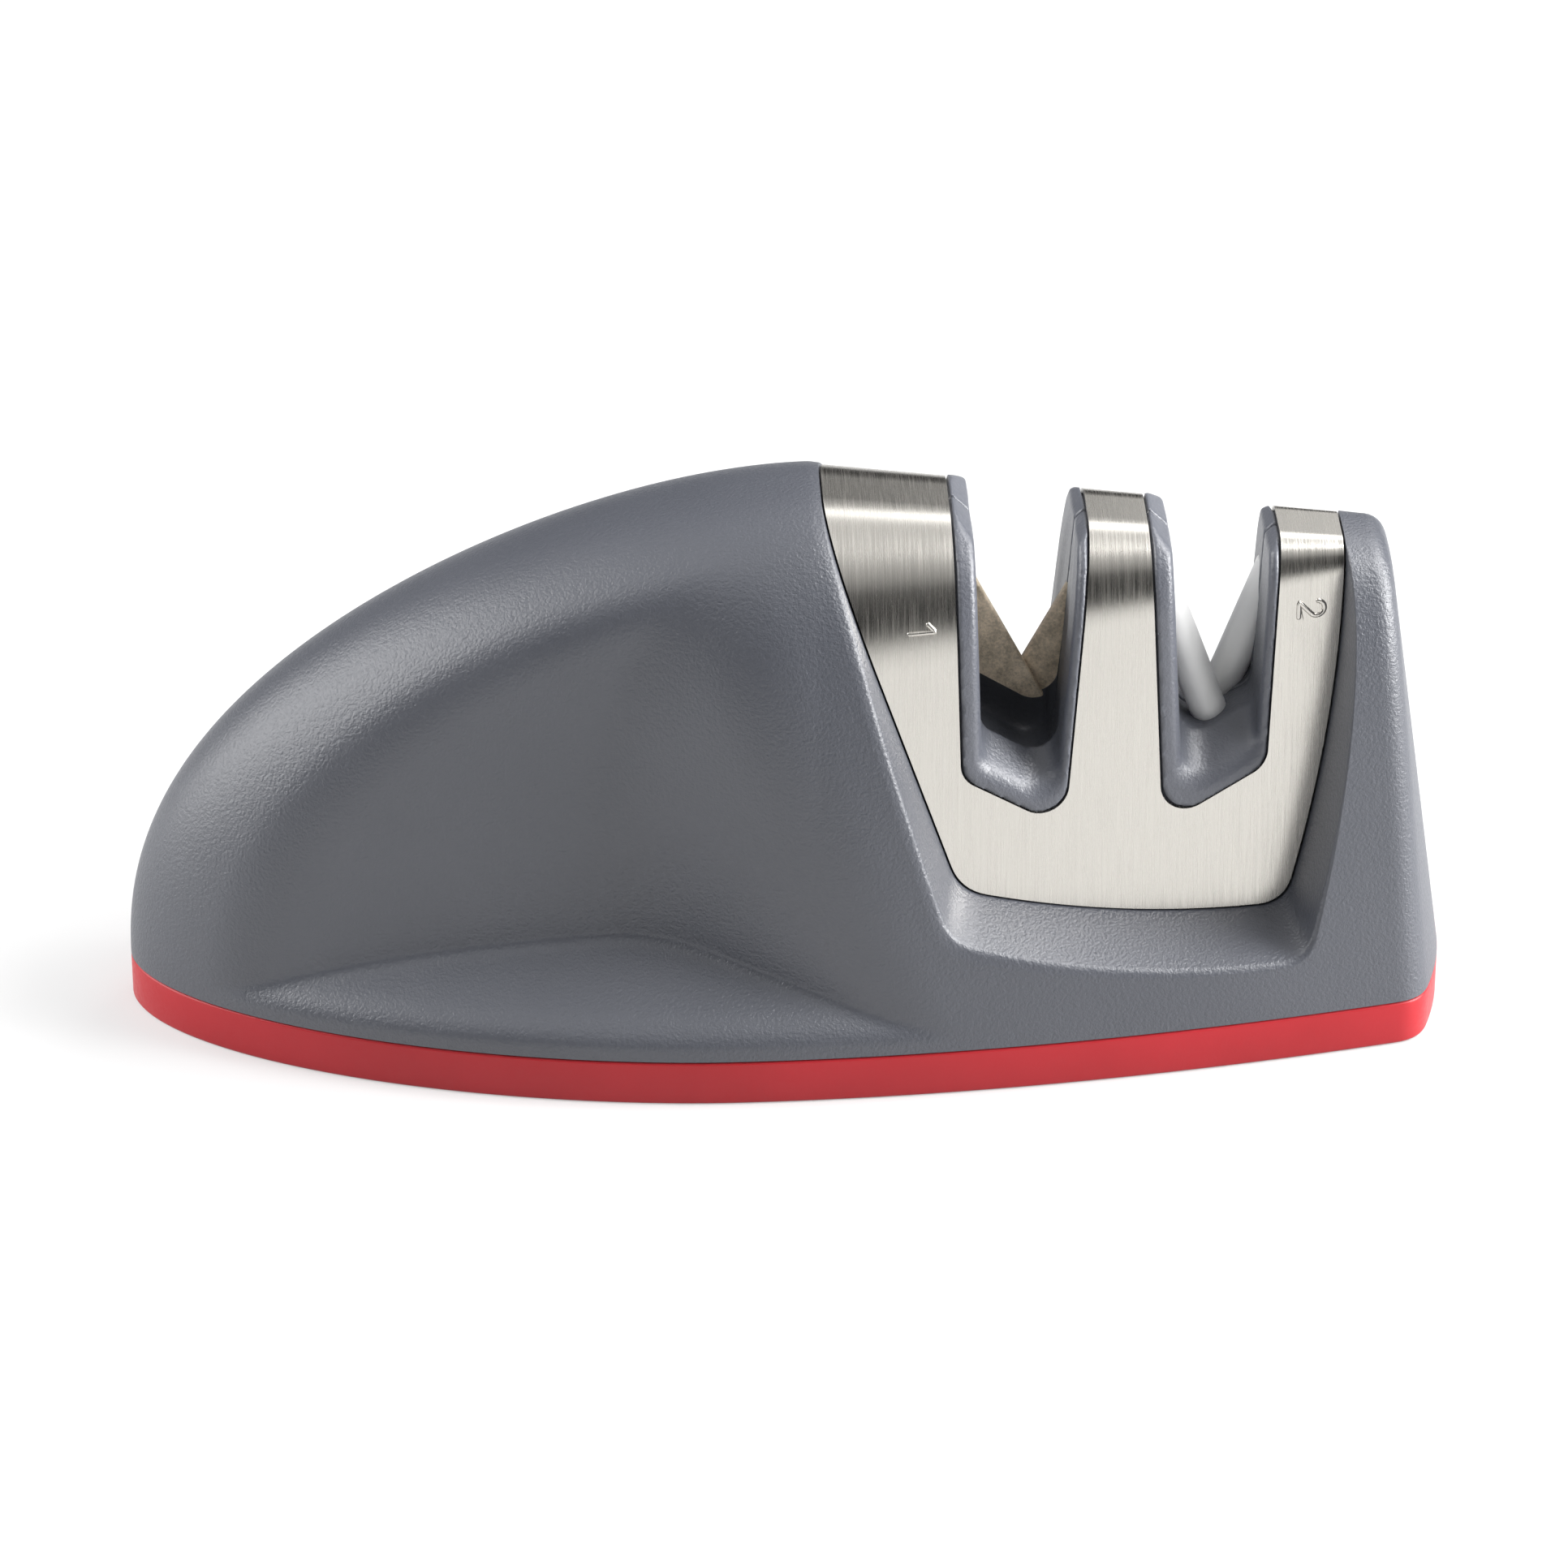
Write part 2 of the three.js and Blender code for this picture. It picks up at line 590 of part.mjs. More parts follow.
// Abrasives: side is -1 for the piece in front that leans left, +1 for the one behind that leans right
function placeAbrasive(geometry, crossing, tilt, across, along, side, depth) {
  const right = new THREE.Vector3(Math.cos(tilt), 0, -side * Math.sin(tilt));
  const down = new THREE.Vector3(-side * Math.sin(tilt), 0, -Math.cos(tilt));
  const place = new THREE.Vector3(crossing[0], side * depth, crossing[1]);
  place.addScaledVector(right, side * across / 2);
  place.addScaledVector(down, along);
  geometry.rotateY(side * tilt);
  geometry.translate(place.x, place.y, place.z);
  return toSolid(geometry);
}

function coarseBar(side, gap) {
  const box = new THREE.BoxGeometry(
    COARSE_WIDTH + 2 * gap,
    COARSE_THICKNESS + 2 * gap,
    COARSE_UP + COARSE_DOWN + 2 * gap,
  );
  const depth = CROSSING_GAP + COARSE_THICKNESS / 2;
  const along = (COARSE_DOWN - COARSE_UP) / 2;
  const bar = placeAbrasive(box, COARSE_CROSSING, COARSE_TILT, COARSE_WIDTH, along, side, depth);
  const held = RIMS.map((rim) => rim - BAR_HOLD - gap);
  return bar.intersect(prism(slotOutline(COARSE_SLOT.opening, held, BAR_FOOT - gap), -WIDTH, WIDTH));
}

function fineRod(side, gap) {
  const radius = FINE_DIAMETER / 2 + gap;
  const rod = new THREE.CylinderGeometry(radius, radius, FINE_UP + FINE_DOWN + 2 * gap, 20);
  rod.rotateX(Math.PI / 2);
  const depth = CROSSING_GAP + FINE_DIAMETER / 2;
  const along = (FINE_DOWN - FINE_UP) / 2;
  return placeAbrasive(rod, FINE_CROSSING, FINE_TILT, FINE_DIAMETER, along, side, depth);
}

// A screw with its bearing face at the origin and its shank along +Z
function screwGeometry(length) {
  const { head, height, shank } = SCREW;
  const profile = [
    [0, -height], [head * 0.75, -height], [head, -height * 0.55], [head, 0],
    [shank, 0], [shank, length - shank], [0, length],
  ];
  const lathe = new THREE.LatheGeometry(profile.map((p) => new THREE.Vector2(...p)), 12);
  lathe.rotateX(Math.PI / 2);
  return lathe;
}

// Sole: a shallow tray with a rounded foot and retaining pegs
function soleSolid() {
  const foot = [[SOLE_EDGE, 0], [SOLE_EDGE * 0.35, SOLE_EDGE * 0.3], [0, SOLE_EDGE], [0, SOLE_TOP - SEAM]];
  const tray = ringSolid(foot.map(([inset, z]) => planRing(inset, z)), flatXY);
  let sole = tray.subtract(slab(WALL, SOLE_FLOOR, SOLE_TOP + WALL));
  const pegTop = SOLE_FLOOR + STEEL_GAP + PLATE_THICKNESS + PEG_RISE;
  for (const [x, y] of PEG_PLACES) {
    sole = sole.add(upright(PEG_RADIUS, x, y, SOLE_FLOOR / 2, pegTop, 12));
  }
  return sole;
}

const PLATE_LOW = SOLE_FLOOR + STEEL_GAP;
const PLATE_HIGH = PLATE_LOW + PLATE_THICKNESS;
const SCREW_SEAT = PLATE_LOW + SCREW.height + SCREW_GAP;
const PAD_TOP = SCREW_SEAT + PLATE_THICKNESS;

function basePlateSolid() {
  const outer = WALL + FIT;
  let plate = slab(outer, PLATE_LOW, SOLE_TOP - SEAM);
  plate = plate.subtract(slab(outer + PLATE_LIP, PLATE_HIGH, SOLE_TOP + WALL));
  for (const [x, y] of BASE_SCREW_PLACES) {
    const pad = upright(PAD_RADIUS, x, y, PLATE_LOW, PAD_TOP);
    const insidePad = pad.intersect(slab(outer, PLATE_LOW, PAD_TOP));
    plate = plate.add(insidePad);
  }
  for (const [x, y] of BASE_SCREW_PLACES) {
    plate = plate.subtract(upright(SCREW.head + SCREW_GAP, x, y, 0, SCREW_SEAT));
    plate = plate.subtract(upright(SCREW.shank + SCREW_GAP, x, y, 0, SOLE_TOP + WALL));
  }
  for (const [x, y] of PEG_PLACES) {
    plate = plate.subtract(upright(PEG_RADIUS + FIT, x, y, 0, SOLE_TOP + WALL, 12));
  }
  return plate;
}

// Floor of the notch on the centre line at x
function notchFloor(x) {
  const points = headOutline(FIT, FIT, FIT).filter((p) => p.y < HEAD_CORNER_Z + HEAD_CORNER_RADIUS);
  let floor = Infinity;
  for (let i = 0; i + 1 < points.length; i += 1) {
    const [a, b] = [points[i], points[i + 1]];
    if (a.x <= x && b.x >= x) floor = Math.min(floor, lerp(a.y, b.y, (x - a.x) / (b.x - a.x)));
  }
  return floor;
}

const headScrewSeat = (x) => notchFloor(x) - HEAD_SCREW_SEAT;

function housingSolid() {
  const outerSteps = { nose: 14, side: 36, corner: 3, end: 5, arch: 18 };
  const innerSteps = { nose: 8, side: 14, corner: 2, end: 3, arch: 9 };
  const outer = bodySolid(0, outerSteps, SOLE_TOP);
  const keep = prism(headOutline(NOTCH_WALL, NOTCH_WALL, WALL), -WIDTH, WIDTH);
  const post = new THREE.BoxGeometry(LENGTH / 4, WIDTH, HEAD_RIGHT_TOP);
  post.translate(HEAD_RIGHT_X + LENGTH / 8, 0, HEAD_RIGHT_TOP);
  let cavity = bodySolid(WALL, innerSteps, 0).subtract(keep).subtract(toSolid(post));
  BASE_SCREW_PLACES.forEach(([x, y], i) => {
    cavity = cavity.subtract(upright(BOSS_RADIUS, x, y, PAD_TOP + STEEL_GAP, BOSS_TOPS[i]));
  });
  let housing = outer.subtract(cavity).subtract(notchSolid());
  for (const [x, y] of BASE_SCREW_PLACES) {
    housing = housing.subtract(upright(PAD_RADIUS + FIT, x, y, 0, PAD_TOP + STEEL_GAP));
    const tip = SCREW_SEAT + BASE_SCREW_LENGTH + SCREW_GAP;
    housing = housing.subtract(upright(SCREW.shank + SCREW_GAP, x, y, 0, tip));
  }
  for (const [x, y] of HEAD_SCREW_PLACES) {
    housing = housing.subtract(upright(SCREW.head + SCREW_GAP, x, y, 0, headScrewSeat(x)));
    housing = housing.subtract(upright(SCREW.shank + SCREW_GAP, x, y, 0, HEAD_CORNER_Z));
  }
  return housing;
}

function steelSolid() {
  const shell = saddle(0, 0.5).subtract(saddle(STEEL, 1));
  let steel = shell.intersect(prism(headOutline(0, 0, 0), -WIDTH, WIDTH));
  for (const { opening } of SLOTS) {
    steel = steel.subtract(prism(slotOutline(opening, [0, 0, 0]), -WIDTH, WIDTH));
  }
  return steel;
}

function coreSolid() {
  const inside = prism(headOutline(-STEEL_GAP, -STEEL_GAP, -STEEL_GAP), -WIDTH, WIDTH);
  let core = saddle(STEEL + STEEL_GAP, 0.5).intersect(inside);
  for (const { opening } of SLOTS) {
    const rim = prism(slotOutline(opening, [FIT, FIT, FIT]), -WIDTH, WIDTH);
    core = core.add(saddle(-RIM_PROUD, 0, RIM_DROP).intersect(rim));
  }
  for (const slot of SLOTS) core = core.subtract(slotCutter(slot));
  for (const side of [-1, 1]) {
    core = core.subtract(coarseBar(side, POCKET_GAP));
    core = core.subtract(fineRod(side, POCKET_GAP));
  }
  for (const [x, z] of CORE_SCREW_PLACES) {
    const seat = coreScrewSeat(x, z);
    const tip = seat + CORE_SCREW_LENGTH + SCREW_GAP;
    core = core.subtract(through(SCREW.head + SCREW_GAP, x, z, -WIDTH, seat));
    core = core.subtract(through(SCREW.shank + SCREW_GAP, x, z, -WIDTH, tip));
  }
  for (const [x, y] of HEAD_SCREW_PLACES) {
    const tip = headScrewSeat(x) + HEAD_SCREW_LENGTH + SCREW_GAP;
    core = core.subtract(upright(SCREW.shank + SCREW_GAP, x, y, 0, tip));
  }
  return core;
}

const coreScrewSeat = (x, z) => STEEL + STEEL_GAP + SCREW.height + SCREW_GAP - headHalfDepth(x, z);

function halfSpace(side) {
  const box = new THREE.BoxGeometry(LENGTH, WIDTH, 2 * WIDTH);
  box.translate(0, side * (WIDTH / 2 + STEEL_GAP / 2), WIDTH);
  return toSolid(box);
}

// Assembly
addPart('anti_slip_sole', soleSolid(), 'sole');
addPart('base_plate', basePlateSolid(), 'shell');
addPart('housing', housingSolid(), 'shell');
addPart('steel_cover', steelSolid(), 'steel');
const core = coreSolid();
addPart('slot_core_front', core.intersect(halfSpace(-1)), 'shell');
addPart('slot_core_rear', core.intersect(halfSpace(1)), 'shell');
addPart('coarse_bar_left', coarseBar(-1, 0), 'grit');
addPart('coarse_bar_right', coarseBar(1, 0), 'grit');
addPart('fine_rod_left', fineRod(-1, 0), 'ceramic');
addPart('fine_rod_right', fineRod(1, 0), 'ceramic');
BASE_SCREW_PLACES.forEach(([x, y], i) => {
  const screw = screwGeometry(BASE_SCREW_LENGTH).translate(x, y, SCREW_SEAT);
  addPart(`base_screw_${i + 1}`, toSolid(screw), 'screw');
});
CORE_SCREW_PLACES.forEach(([x, z], i) => {
  const screw = screwGeometry(CORE_SCREW_LENGTH).rotateX(-Math.PI / 2).translate(x, coreScrewSeat(x, z), z);
  addPart(`core_screw_${i + 1}`, toSolid(screw), 'screw');
});
HEAD_SCREW_PLACES.forEach(([x, y], i) => {
  const screw = screwGeometry(HEAD_SCREW_LENGTH).translate(x, y, headScrewSeat(x));
  addPart(`head_screw_${i + 1}`, toSolid(screw), 'screw');
});

export default group;
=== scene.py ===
# %% [markdown]
# # A knife sharpener with a coarse and a fine slot
# A grey plastic grip carries a steel-faced head with two knife slots, and the whole stands on
# a soft red sole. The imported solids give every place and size. This lesson builds a smoother,
# finer piece over each solid that shows, gives it a finish, and sets it in plain studio light.

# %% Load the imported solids
import json
import math

import bmesh
import bpy
import numpy as np
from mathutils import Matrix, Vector


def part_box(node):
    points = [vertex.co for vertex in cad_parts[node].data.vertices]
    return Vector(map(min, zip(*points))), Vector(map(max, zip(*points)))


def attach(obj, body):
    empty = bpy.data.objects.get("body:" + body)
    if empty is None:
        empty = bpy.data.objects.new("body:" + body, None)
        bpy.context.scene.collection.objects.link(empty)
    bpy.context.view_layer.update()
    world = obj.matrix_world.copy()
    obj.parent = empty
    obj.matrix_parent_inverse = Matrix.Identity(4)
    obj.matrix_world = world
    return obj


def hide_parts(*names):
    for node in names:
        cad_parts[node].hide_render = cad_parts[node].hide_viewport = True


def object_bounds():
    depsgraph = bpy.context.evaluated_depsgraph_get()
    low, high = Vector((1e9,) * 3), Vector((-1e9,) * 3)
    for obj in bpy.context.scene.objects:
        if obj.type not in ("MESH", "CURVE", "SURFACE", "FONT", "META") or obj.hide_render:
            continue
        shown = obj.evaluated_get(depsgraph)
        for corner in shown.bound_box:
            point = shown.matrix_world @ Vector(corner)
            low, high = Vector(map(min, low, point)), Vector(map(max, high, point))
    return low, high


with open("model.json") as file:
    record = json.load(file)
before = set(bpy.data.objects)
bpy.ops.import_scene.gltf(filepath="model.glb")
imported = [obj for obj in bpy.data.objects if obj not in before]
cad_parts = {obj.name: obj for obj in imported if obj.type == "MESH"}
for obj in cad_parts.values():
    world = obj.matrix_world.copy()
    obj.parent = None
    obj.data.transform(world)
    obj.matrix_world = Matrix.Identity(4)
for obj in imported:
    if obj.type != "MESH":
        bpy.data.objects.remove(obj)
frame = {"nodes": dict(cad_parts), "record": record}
cad_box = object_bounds()
print("solids in the frame:", len(frame["nodes"]))

# %% [markdown]
# The sizes are in millimetres, as on a drawing, and each mesh is scaled to metres when it is
# made. The length, the width and the height of the sole come from the frame. The others are
# the curves of the grip and the head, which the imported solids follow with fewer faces.

# %% Sizes of the body
MM = 0.001
LENGTH = (cad_box[1][0] - cad_box[0][0]) / MM
WIDTH = (cad_box[1][1] - cad_box[0][1]) / MM
SEAM = 0.15
SOLE_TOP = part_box("anti_slip_sole")[1][2] / MM + SEAM
WIDEST_X = -8.0
NOSE_ROUNDNESS = 1.8
SIDE_TAPER = 1.84
END_HALF_WIDTH = 16.3
END_SAG = 3.4
END_CORNER_RADIUS = 2.6
END_LEAN = 0.15
WALL = 2.4
FIT = 0.25
PEAK_X = 3.0
RIDGE_RISE = 1.6
RIDGE_ROUNDNESS = 2.2
print(f"body {LENGTH:.1f} x {WIDTH:.1f} mm, sole {SOLE_TOP:.2f} mm high")

# %% Sizes of the head
HEAD_LEFT = (4.1, 63.8)
HEAD_RIGHT = (62.0, 57.9)
HEAD_FLAT_HALF = 2.5
SHOULDER_LEFT = 12.2
SHOULDER_RIGHT = 2.6
HIP_TURN = math.radians(25)
HIP_SCALE = 2.5
LEG_LEAN = math.radians(5.5)
HEAD_LEFT_SLOPE = 0.35
HEAD_CORNER_Z = 21.0
HEAD_RIGHT_CORNER = (56.2, 15.2)
HEAD_BOTTOM_SAG = 1.6
HEAD_RIGHT_BULGE = 1.5
HEAD_CORNER_RADIUS = 3.0
DRAFTS = (0.3, 0.33, 0.2)
STEEL = 0.5
STEEL_GAP = 0.2

# %% [markdown]
# Three small rules give the outer surface. In plan the body is a rounded nose that widens and
# then tapers to a bowed end. The ridge rises from the nose to a peak and then falls in a
# straight line. Between foot and ridge each cross section is an arch, which gets squarer
# towards the head, so that the steel sits flush in it.


# %% Plan, ridge and arch
def end_x(y, inset=0.0):
    return LENGTH / 2 - inset - END_SAG * (y / END_HALF_WIDTH) ** 2


def corner_x(inset=0.0):
    return end_x(END_HALF_WIDTH - inset, inset)


def half_width(x, inset=0.0):
    half = WIDTH / 2 - inset
    nose = np.clip((WIDEST_X - x) / (WIDEST_X + LENGTH / 2 - inset), 0, 1)
    tail = np.clip((x - WIDEST_X) / (corner_x(inset) - WIDEST_X), 0, None)
    rounded = half * (1 - nose**NOSE_ROUNDNESS) ** (1 / NOSE_ROUNDNESS)
    tapered = half - (WIDTH / 2 - END_HALF_WIDTH) * tail**SIDE_TAPER
    return np.where(x <= WIDEST_X, rounded, tapered)


def head_part(x):
    return (x - HEAD_LEFT[0]) / (HEAD_RIGHT[0] - HEAD_LEFT[0])


def head_top(x):
    return HEAD_LEFT[1] + (HEAD_RIGHT[1] - HEAD_LEFT[1]) * head_part(x)


def shoulder(x):
    return SHOULDER_LEFT + (SHOULDER_RIGHT - SHOULDER_LEFT) * head_part(x)


def ridge(x, inset=0.0):
    u = np.clip((PEAK_X - x) / (PEAK_X + LENGTH / 2 - inset), 0, 1)
    rise = head_top(PEAK_X) - inset - SOLE_TOP
    dome = SOLE_TOP + rise * (1 - u**RIDGE_RISE) ** (1 / RIDGE_ROUNDNESS)
    return np.where(x > PEAK_X, head_top(x) - inset, dome)


ARCH_TOP_POWER = 2.8
ARCH_SIDE_POWER = 1.0
ARCH_LEAN = 0.33


def arch(x, s):
    k = np.clip((x + LENGTH / 2) / (PEAK_X + LENGTH / 2), 0, 1) ** 2
    leaning = 1 - ARCH_LEAN * k * s
    rounded = np.clip(1 - s ** (2 + ARCH_TOP_POWER * k), 0, 1) ** (1 / (2 + ARCH_SIDE_POWER * k))
    return leaning * rounded


# %% [markdown]
# The finger recess is a flat floor, a side wall that slopes up to the head, and a ledge that
# slopes down to the foot. A soft minimum and maximum join them to the arch with round edges, so
# the recess needs no cutting and its rims stay smooth at any resolution.

# %% The finger recess
GRIP_HALF_DEPTH = 14.8
GRIP_LEAN = 0.02
GRIP_WALL_TOP = (-6.6, 55.0)
GRIP_WALL_FOOT = (10.5, 12.0)
GRIP_WALL_SLOPE = 0.47
LEDGE_FOOT = 8.4
LEDGE_SLOPE = 1.84
LEDGE_RISE = 14.0
GRIP_BLEND = 3.0


def soft_min(a, b, blend):
    h = np.clip(0.5 + (b - a) / (2 * np.maximum(blend, 1e-9)), 0, 1)
    return b + (a - b) * h - blend * h * (1 - h)


def soft_max(a, b, blend):
    return -soft_min(-a, -b, blend)


def recess_half_depth(x, z, plain, inset):
    floor = GRIP_HALF_DEPTH - GRIP_LEAN * (z - LEDGE_FOOT) - inset
    climb = (z - GRIP_WALL_FOOT[1]) / (GRIP_WALL_TOP[1] - GRIP_WALL_FOOT[1])
    wall_x = GRIP_WALL_FOOT[0] + (GRIP_WALL_TOP[0] - GRIP_WALL_FOOT[0]) * climb
    side = plain + (x - wall_x) * GRIP_WALL_SLOPE
    ledge = half_width(x) - (z + inset * 0.7 - LEDGE_FOOT) * LEDGE_SLOPE - inset
    return soft_max(soft_max(floor, side, GRIP_BLEND), ledge, GRIP_BLEND / 2)


def body_half_depth(x, z, base, inset=0.0):
    s = np.clip((z - SOLE_TOP) / np.maximum(ridge(x, inset) - SOLE_TOP, 1e-6), 0, 1)
    plain = base * arch(x, s)
    recess = recess_half_depth(x, z, plain, inset)
    return np.minimum(plain, soft_min(plain, recess, np.minimum(GRIP_BLEND, plain / 2)))


MID_GRIP = (-30.0, 30.0)
mid_width = half_width(MID_GRIP[0])
print(f"recess depth at mid grip: {mid_width - body_half_depth(*MID_GRIP, mid_width):.1f} mm")

# %% [markdown]
# A few helpers turn points into objects. A loft joins rings of equally many points, and a cut
# takes one closed shape from another with the Boolean modifier. Smooth shading with sharp
# edges above an angle keeps moulded curves soft and real edges crisp.


# %% Mesh helpers
def new_object(name, points, faces):
    mesh = bpy.data.meshes.new(name)
    mesh.from_pydata((np.asarray(points, dtype=float) * MM).tolist(), [], faces)
    piece = bpy.data.objects.new(name, mesh)
    bpy.context.scene.collection.objects.link(piece)
    tidy_mesh(mesh)
    return piece


def tidy_mesh(mesh):
    work = bmesh.new()
    work.from_mesh(mesh)
    bmesh.ops.remove_doubles(work, verts=work.verts, dist=2e-7)
    bmesh.ops.dissolve_degenerate(work, edges=work.edges, dist=1e-8)
    bmesh.ops.recalc_face_normals(work, faces=work.faces)
    work.to_mesh(mesh)
    work.free()


def loft(name, rings, capped=True):
    count = len(rings[0])
    faces = []
    for r in range(len(rings) - 1):
        for i in range(count):
            a, b = r * count + i, r * count + (i + 1) % count
            faces.append((a, b, b + count, a + count))
    if capped:
        faces.append(tuple(range(count)))
        faces.append(tuple(reversed(range((len(rings) - 1) * count, len(rings) * count))))
    return new_object(name, np.concatenate(rings), faces)


def carve(piece, tool, operation="DIFFERENCE"):
    cut = piece.modifiers.new("carve", "BOOLEAN")
    cut.operation = operation
    cut.solver = "MANIFOLD"
    cut.object = tool
    bpy.context.view_layer.objects.active = piece
    bpy.ops.object.modifier_apply(modifier=cut.name)
    bpy.data.objects.remove(tool)


def smooth(piece, angle):
    piece.data.shade_smooth()
    piece.data.set_sharp_from_angle(angle=math.radians(angle))


def corner_at(start, at, end, t):
    return (1 - t) ** 2 * start + 2 * t * (1 - t) * at + t**2 * end


def corner_points(start, at, end, steps):
    return corner_at(start, at, end, np.linspace(0, 1, steps + 1)[:, None])


# %% [markdown]
# The body is a loft of arches. Each station has a foot on the plan's outline and a crest on the
# ridge; past the head the crest runs down the leaning end, so that the last sections close the
# end face. The samples lie closest at the ledge and at the ridge, where the surface bends most.


# %% Stations of the body
def front_outline(inset, steps):
    nose = WIDEST_X + LENGTH / 2 - inset
    turn = np.arange(steps["nose"]) / steps["nose"] * math.pi / 2
    x = WIDEST_X - nose * np.cos(turn)
    last = corner_x(inset) - END_CORNER_RADIUS
    x = np.concatenate([x, np.linspace(WIDEST_X, last, steps["side"], endpoint=False)])
    side = np.stack([x, half_width(x, inset)], axis=1)
    half = END_HALF_WIDTH - inset
    low = half - END_CORNER_RADIUS
    bend = corner_points(
        np.array([last, half_width(last, inset)]),
        np.array([corner_x(inset), half]),
        np.array([end_x(low, inset), low]),
        steps["corner"],
    )
    y = np.linspace(low, 0, steps["end"] + 1)[1:]
    end = np.stack([end_x(y, inset), y], axis=1)
    return np.concatenate([side, bend, end])


def crest_line(outline, inset, steps):
    last_side = len(outline) - 1 - steps["corner"] - steps["end"]
    lean_x = lambda z: LENGTH / 2 - inset - END_LEAN * (z - SOLE_TOP)
    end_top = lean_x(head_top(HEAD_RIGHT[0])) - END_CORNER_RADIUS
    shift_from = HEAD_RIGHT[0] - 4 * END_CORNER_RADIUS
    x = outline[:last_side, 0]
    start_x = outline[last_side, 0]
    moved = shift_from + (x - shift_from) * (end_top - shift_from) / (start_x - shift_from)
    x = np.where(x > shift_from, moved, x)
    top_z = float(ridge(end_top, inset))
    low_z = top_z - END_CORNER_RADIUS
    bend = corner_points(
        np.array([end_top, top_z]),
        np.array([lean_x(top_z), top_z]),
        np.array([lean_x(low_z), low_z]),
        steps["corner"],
    )
    z = np.linspace(low_z, SOLE_TOP, steps["end"] + 1)[1:]
    fall = np.stack([lean_x(z), z], axis=1)
    return np.concatenate([np.stack([x, ridge(x, inset)], axis=1), bend, fall])


def arch_samples(rise, steps):
    share = min(0.5, LEDGE_RISE / max(rise, 1e-6))
    low = np.linspace(0, share, steps["ledge"], endpoint=False)
    high = share + (1 - share) * np.sin(np.linspace(0, math.pi / 2, steps["arch"] + 1))
    return np.concatenate([low, high])


def body_loft(name, inset, steps, low):
    outline = front_outline(inset, steps)
    crest = crest_line(outline, inset, steps)
    rings = []
    for foot, top in zip(outline, crest):
        s = arch_samples(top[1] - SOLE_TOP, steps)
        x = foot[0] + (top[0] - foot[0]) * s
        z = SOLE_TOP + (top[1] - SOLE_TOP) * s
        if foot[0] < HEAD_RIGHT[0] / 2:
            y = body_half_depth(x, z, foot[1], inset)
        else:
            y = foot[1] * arch(x, s)
        y[-1] = 0
        z[0] = low
        front = np.stack([x, -y, z], axis=1)
        back = np.stack([x, y, z], axis=1)[:-1][::-1]
        rings.append(np.concatenate([front, back]))
    return loft(name, rings, capped=False)


# %% [markdown]
# The head's outline in the front view is a leaning left edge, a sagging bottom and a bulging
# right edge with round corners. The same function, moved outward by a little, gives the steel,
# the plastic behind it and the notch in the housing, so they always fit.


# %% Outline of the head
OUTLINE_STEPS = {"left": 30, "corner": 8, "bottom": 24, "right": 34}


def bow(start, control, end):
    return lambda t: corner_at(start, control, end, np.atleast_1d(t)[:, None])


def head_outline(left, below, right):
    top = HEAD_LEFT[1] + SHOULDER_LEFT
    left_x = lambda z: HEAD_LEFT[0] + (HEAD_LEFT[1] - z) * HEAD_LEFT_SLOPE - left
    low_z = HEAD_CORNER_Z - below
    low_left = np.array([left_x(low_z), low_z])
    low_right = np.array([HEAD_RIGHT_CORNER[0] + right, HEAD_RIGHT_CORNER[1] - below])
    high_right = np.array([HEAD_RIGHT[0] + right, HEAD_RIGHT[1]])
    bottom_pull = (low_left + low_right) / 2 - [0, 2 * HEAD_BOTTOM_SAG]
    side_pull = (low_right + high_right) / 2 + [2 * HEAD_RIGHT_BULGE, 0]
    bottom = bow(low_left, bottom_pull, low_right)
    side = bow(low_right, side_pull, high_right)
    cut = HEAD_CORNER_RADIUS / np.linalg.norm(low_right - low_left)
    rise = HEAD_CORNER_RADIUS / np.linalg.norm(high_right - low_right)
    n = OUTLINE_STEPS
    fall = (np.arange(n["left"]) / n["left"]) ** 2
    z = HEAD_LEFT[1] + (low_z + HEAD_CORNER_RADIUS - HEAD_LEFT[1]) * fall
    before = np.array([left_x(low_z + HEAD_CORNER_RADIUS), low_z + HEAD_CORNER_RADIUS])
    climb = np.sin(np.arange(1, n["right"] + 1) / n["right"] * math.pi / 2)
    return np.concatenate([
        [[left_x(top), top]],
        np.stack([left_x(z), z], axis=1),
        corner_points(before, low_left, bottom(cut)[0], n["corner"]),
        bottom(np.linspace(cut, 1 - cut, n["bottom"] + 1)[1:-1]),
        corner_points(bottom(1 - cut)[0], low_right, side(rise)[0], n["corner"]),
        side(rise + (1 - rise) * climb),
        [[HEAD_RIGHT[0] + right, top]],
    ])


def head_half_depth(x, z):
    radius = shoulder(x)
    hip = radius * HIP_SCALE
    centre = head_top(x) - radius
    hip_top = centre + radius * math.sin(HIP_TURN)
    hip_centre = hip_top - hip * math.sin(HIP_TURN)
    hip_start = HEAD_FLAT_HALF + (radius - hip) * math.cos(HIP_TURN)
    leg_top = hip_centre + hip * math.sin(LEG_LEAN)
    leg = hip_start + hip * math.cos(LEG_LEAN) + (leg_top - z) * math.tan(LEG_LEAN)
    hip_part = hip_start + np.sqrt(np.clip(hip**2 - (z - hip_centre) ** 2, 0, None))
    round_part = HEAD_FLAT_HALF + np.sqrt(np.clip(radius**2 - (z - centre) ** 2, 0, None))
    return np.where(z <= leg_top, leg, np.where(z <= hip_top, hip_part, round_part))


def prism(name, outline, near, far):
    rings = [np.stack([outline[:, 0], np.full(len(outline), y), outline[:, 1]], axis=1) for y in (near, far)]
    return loft(name, rings)


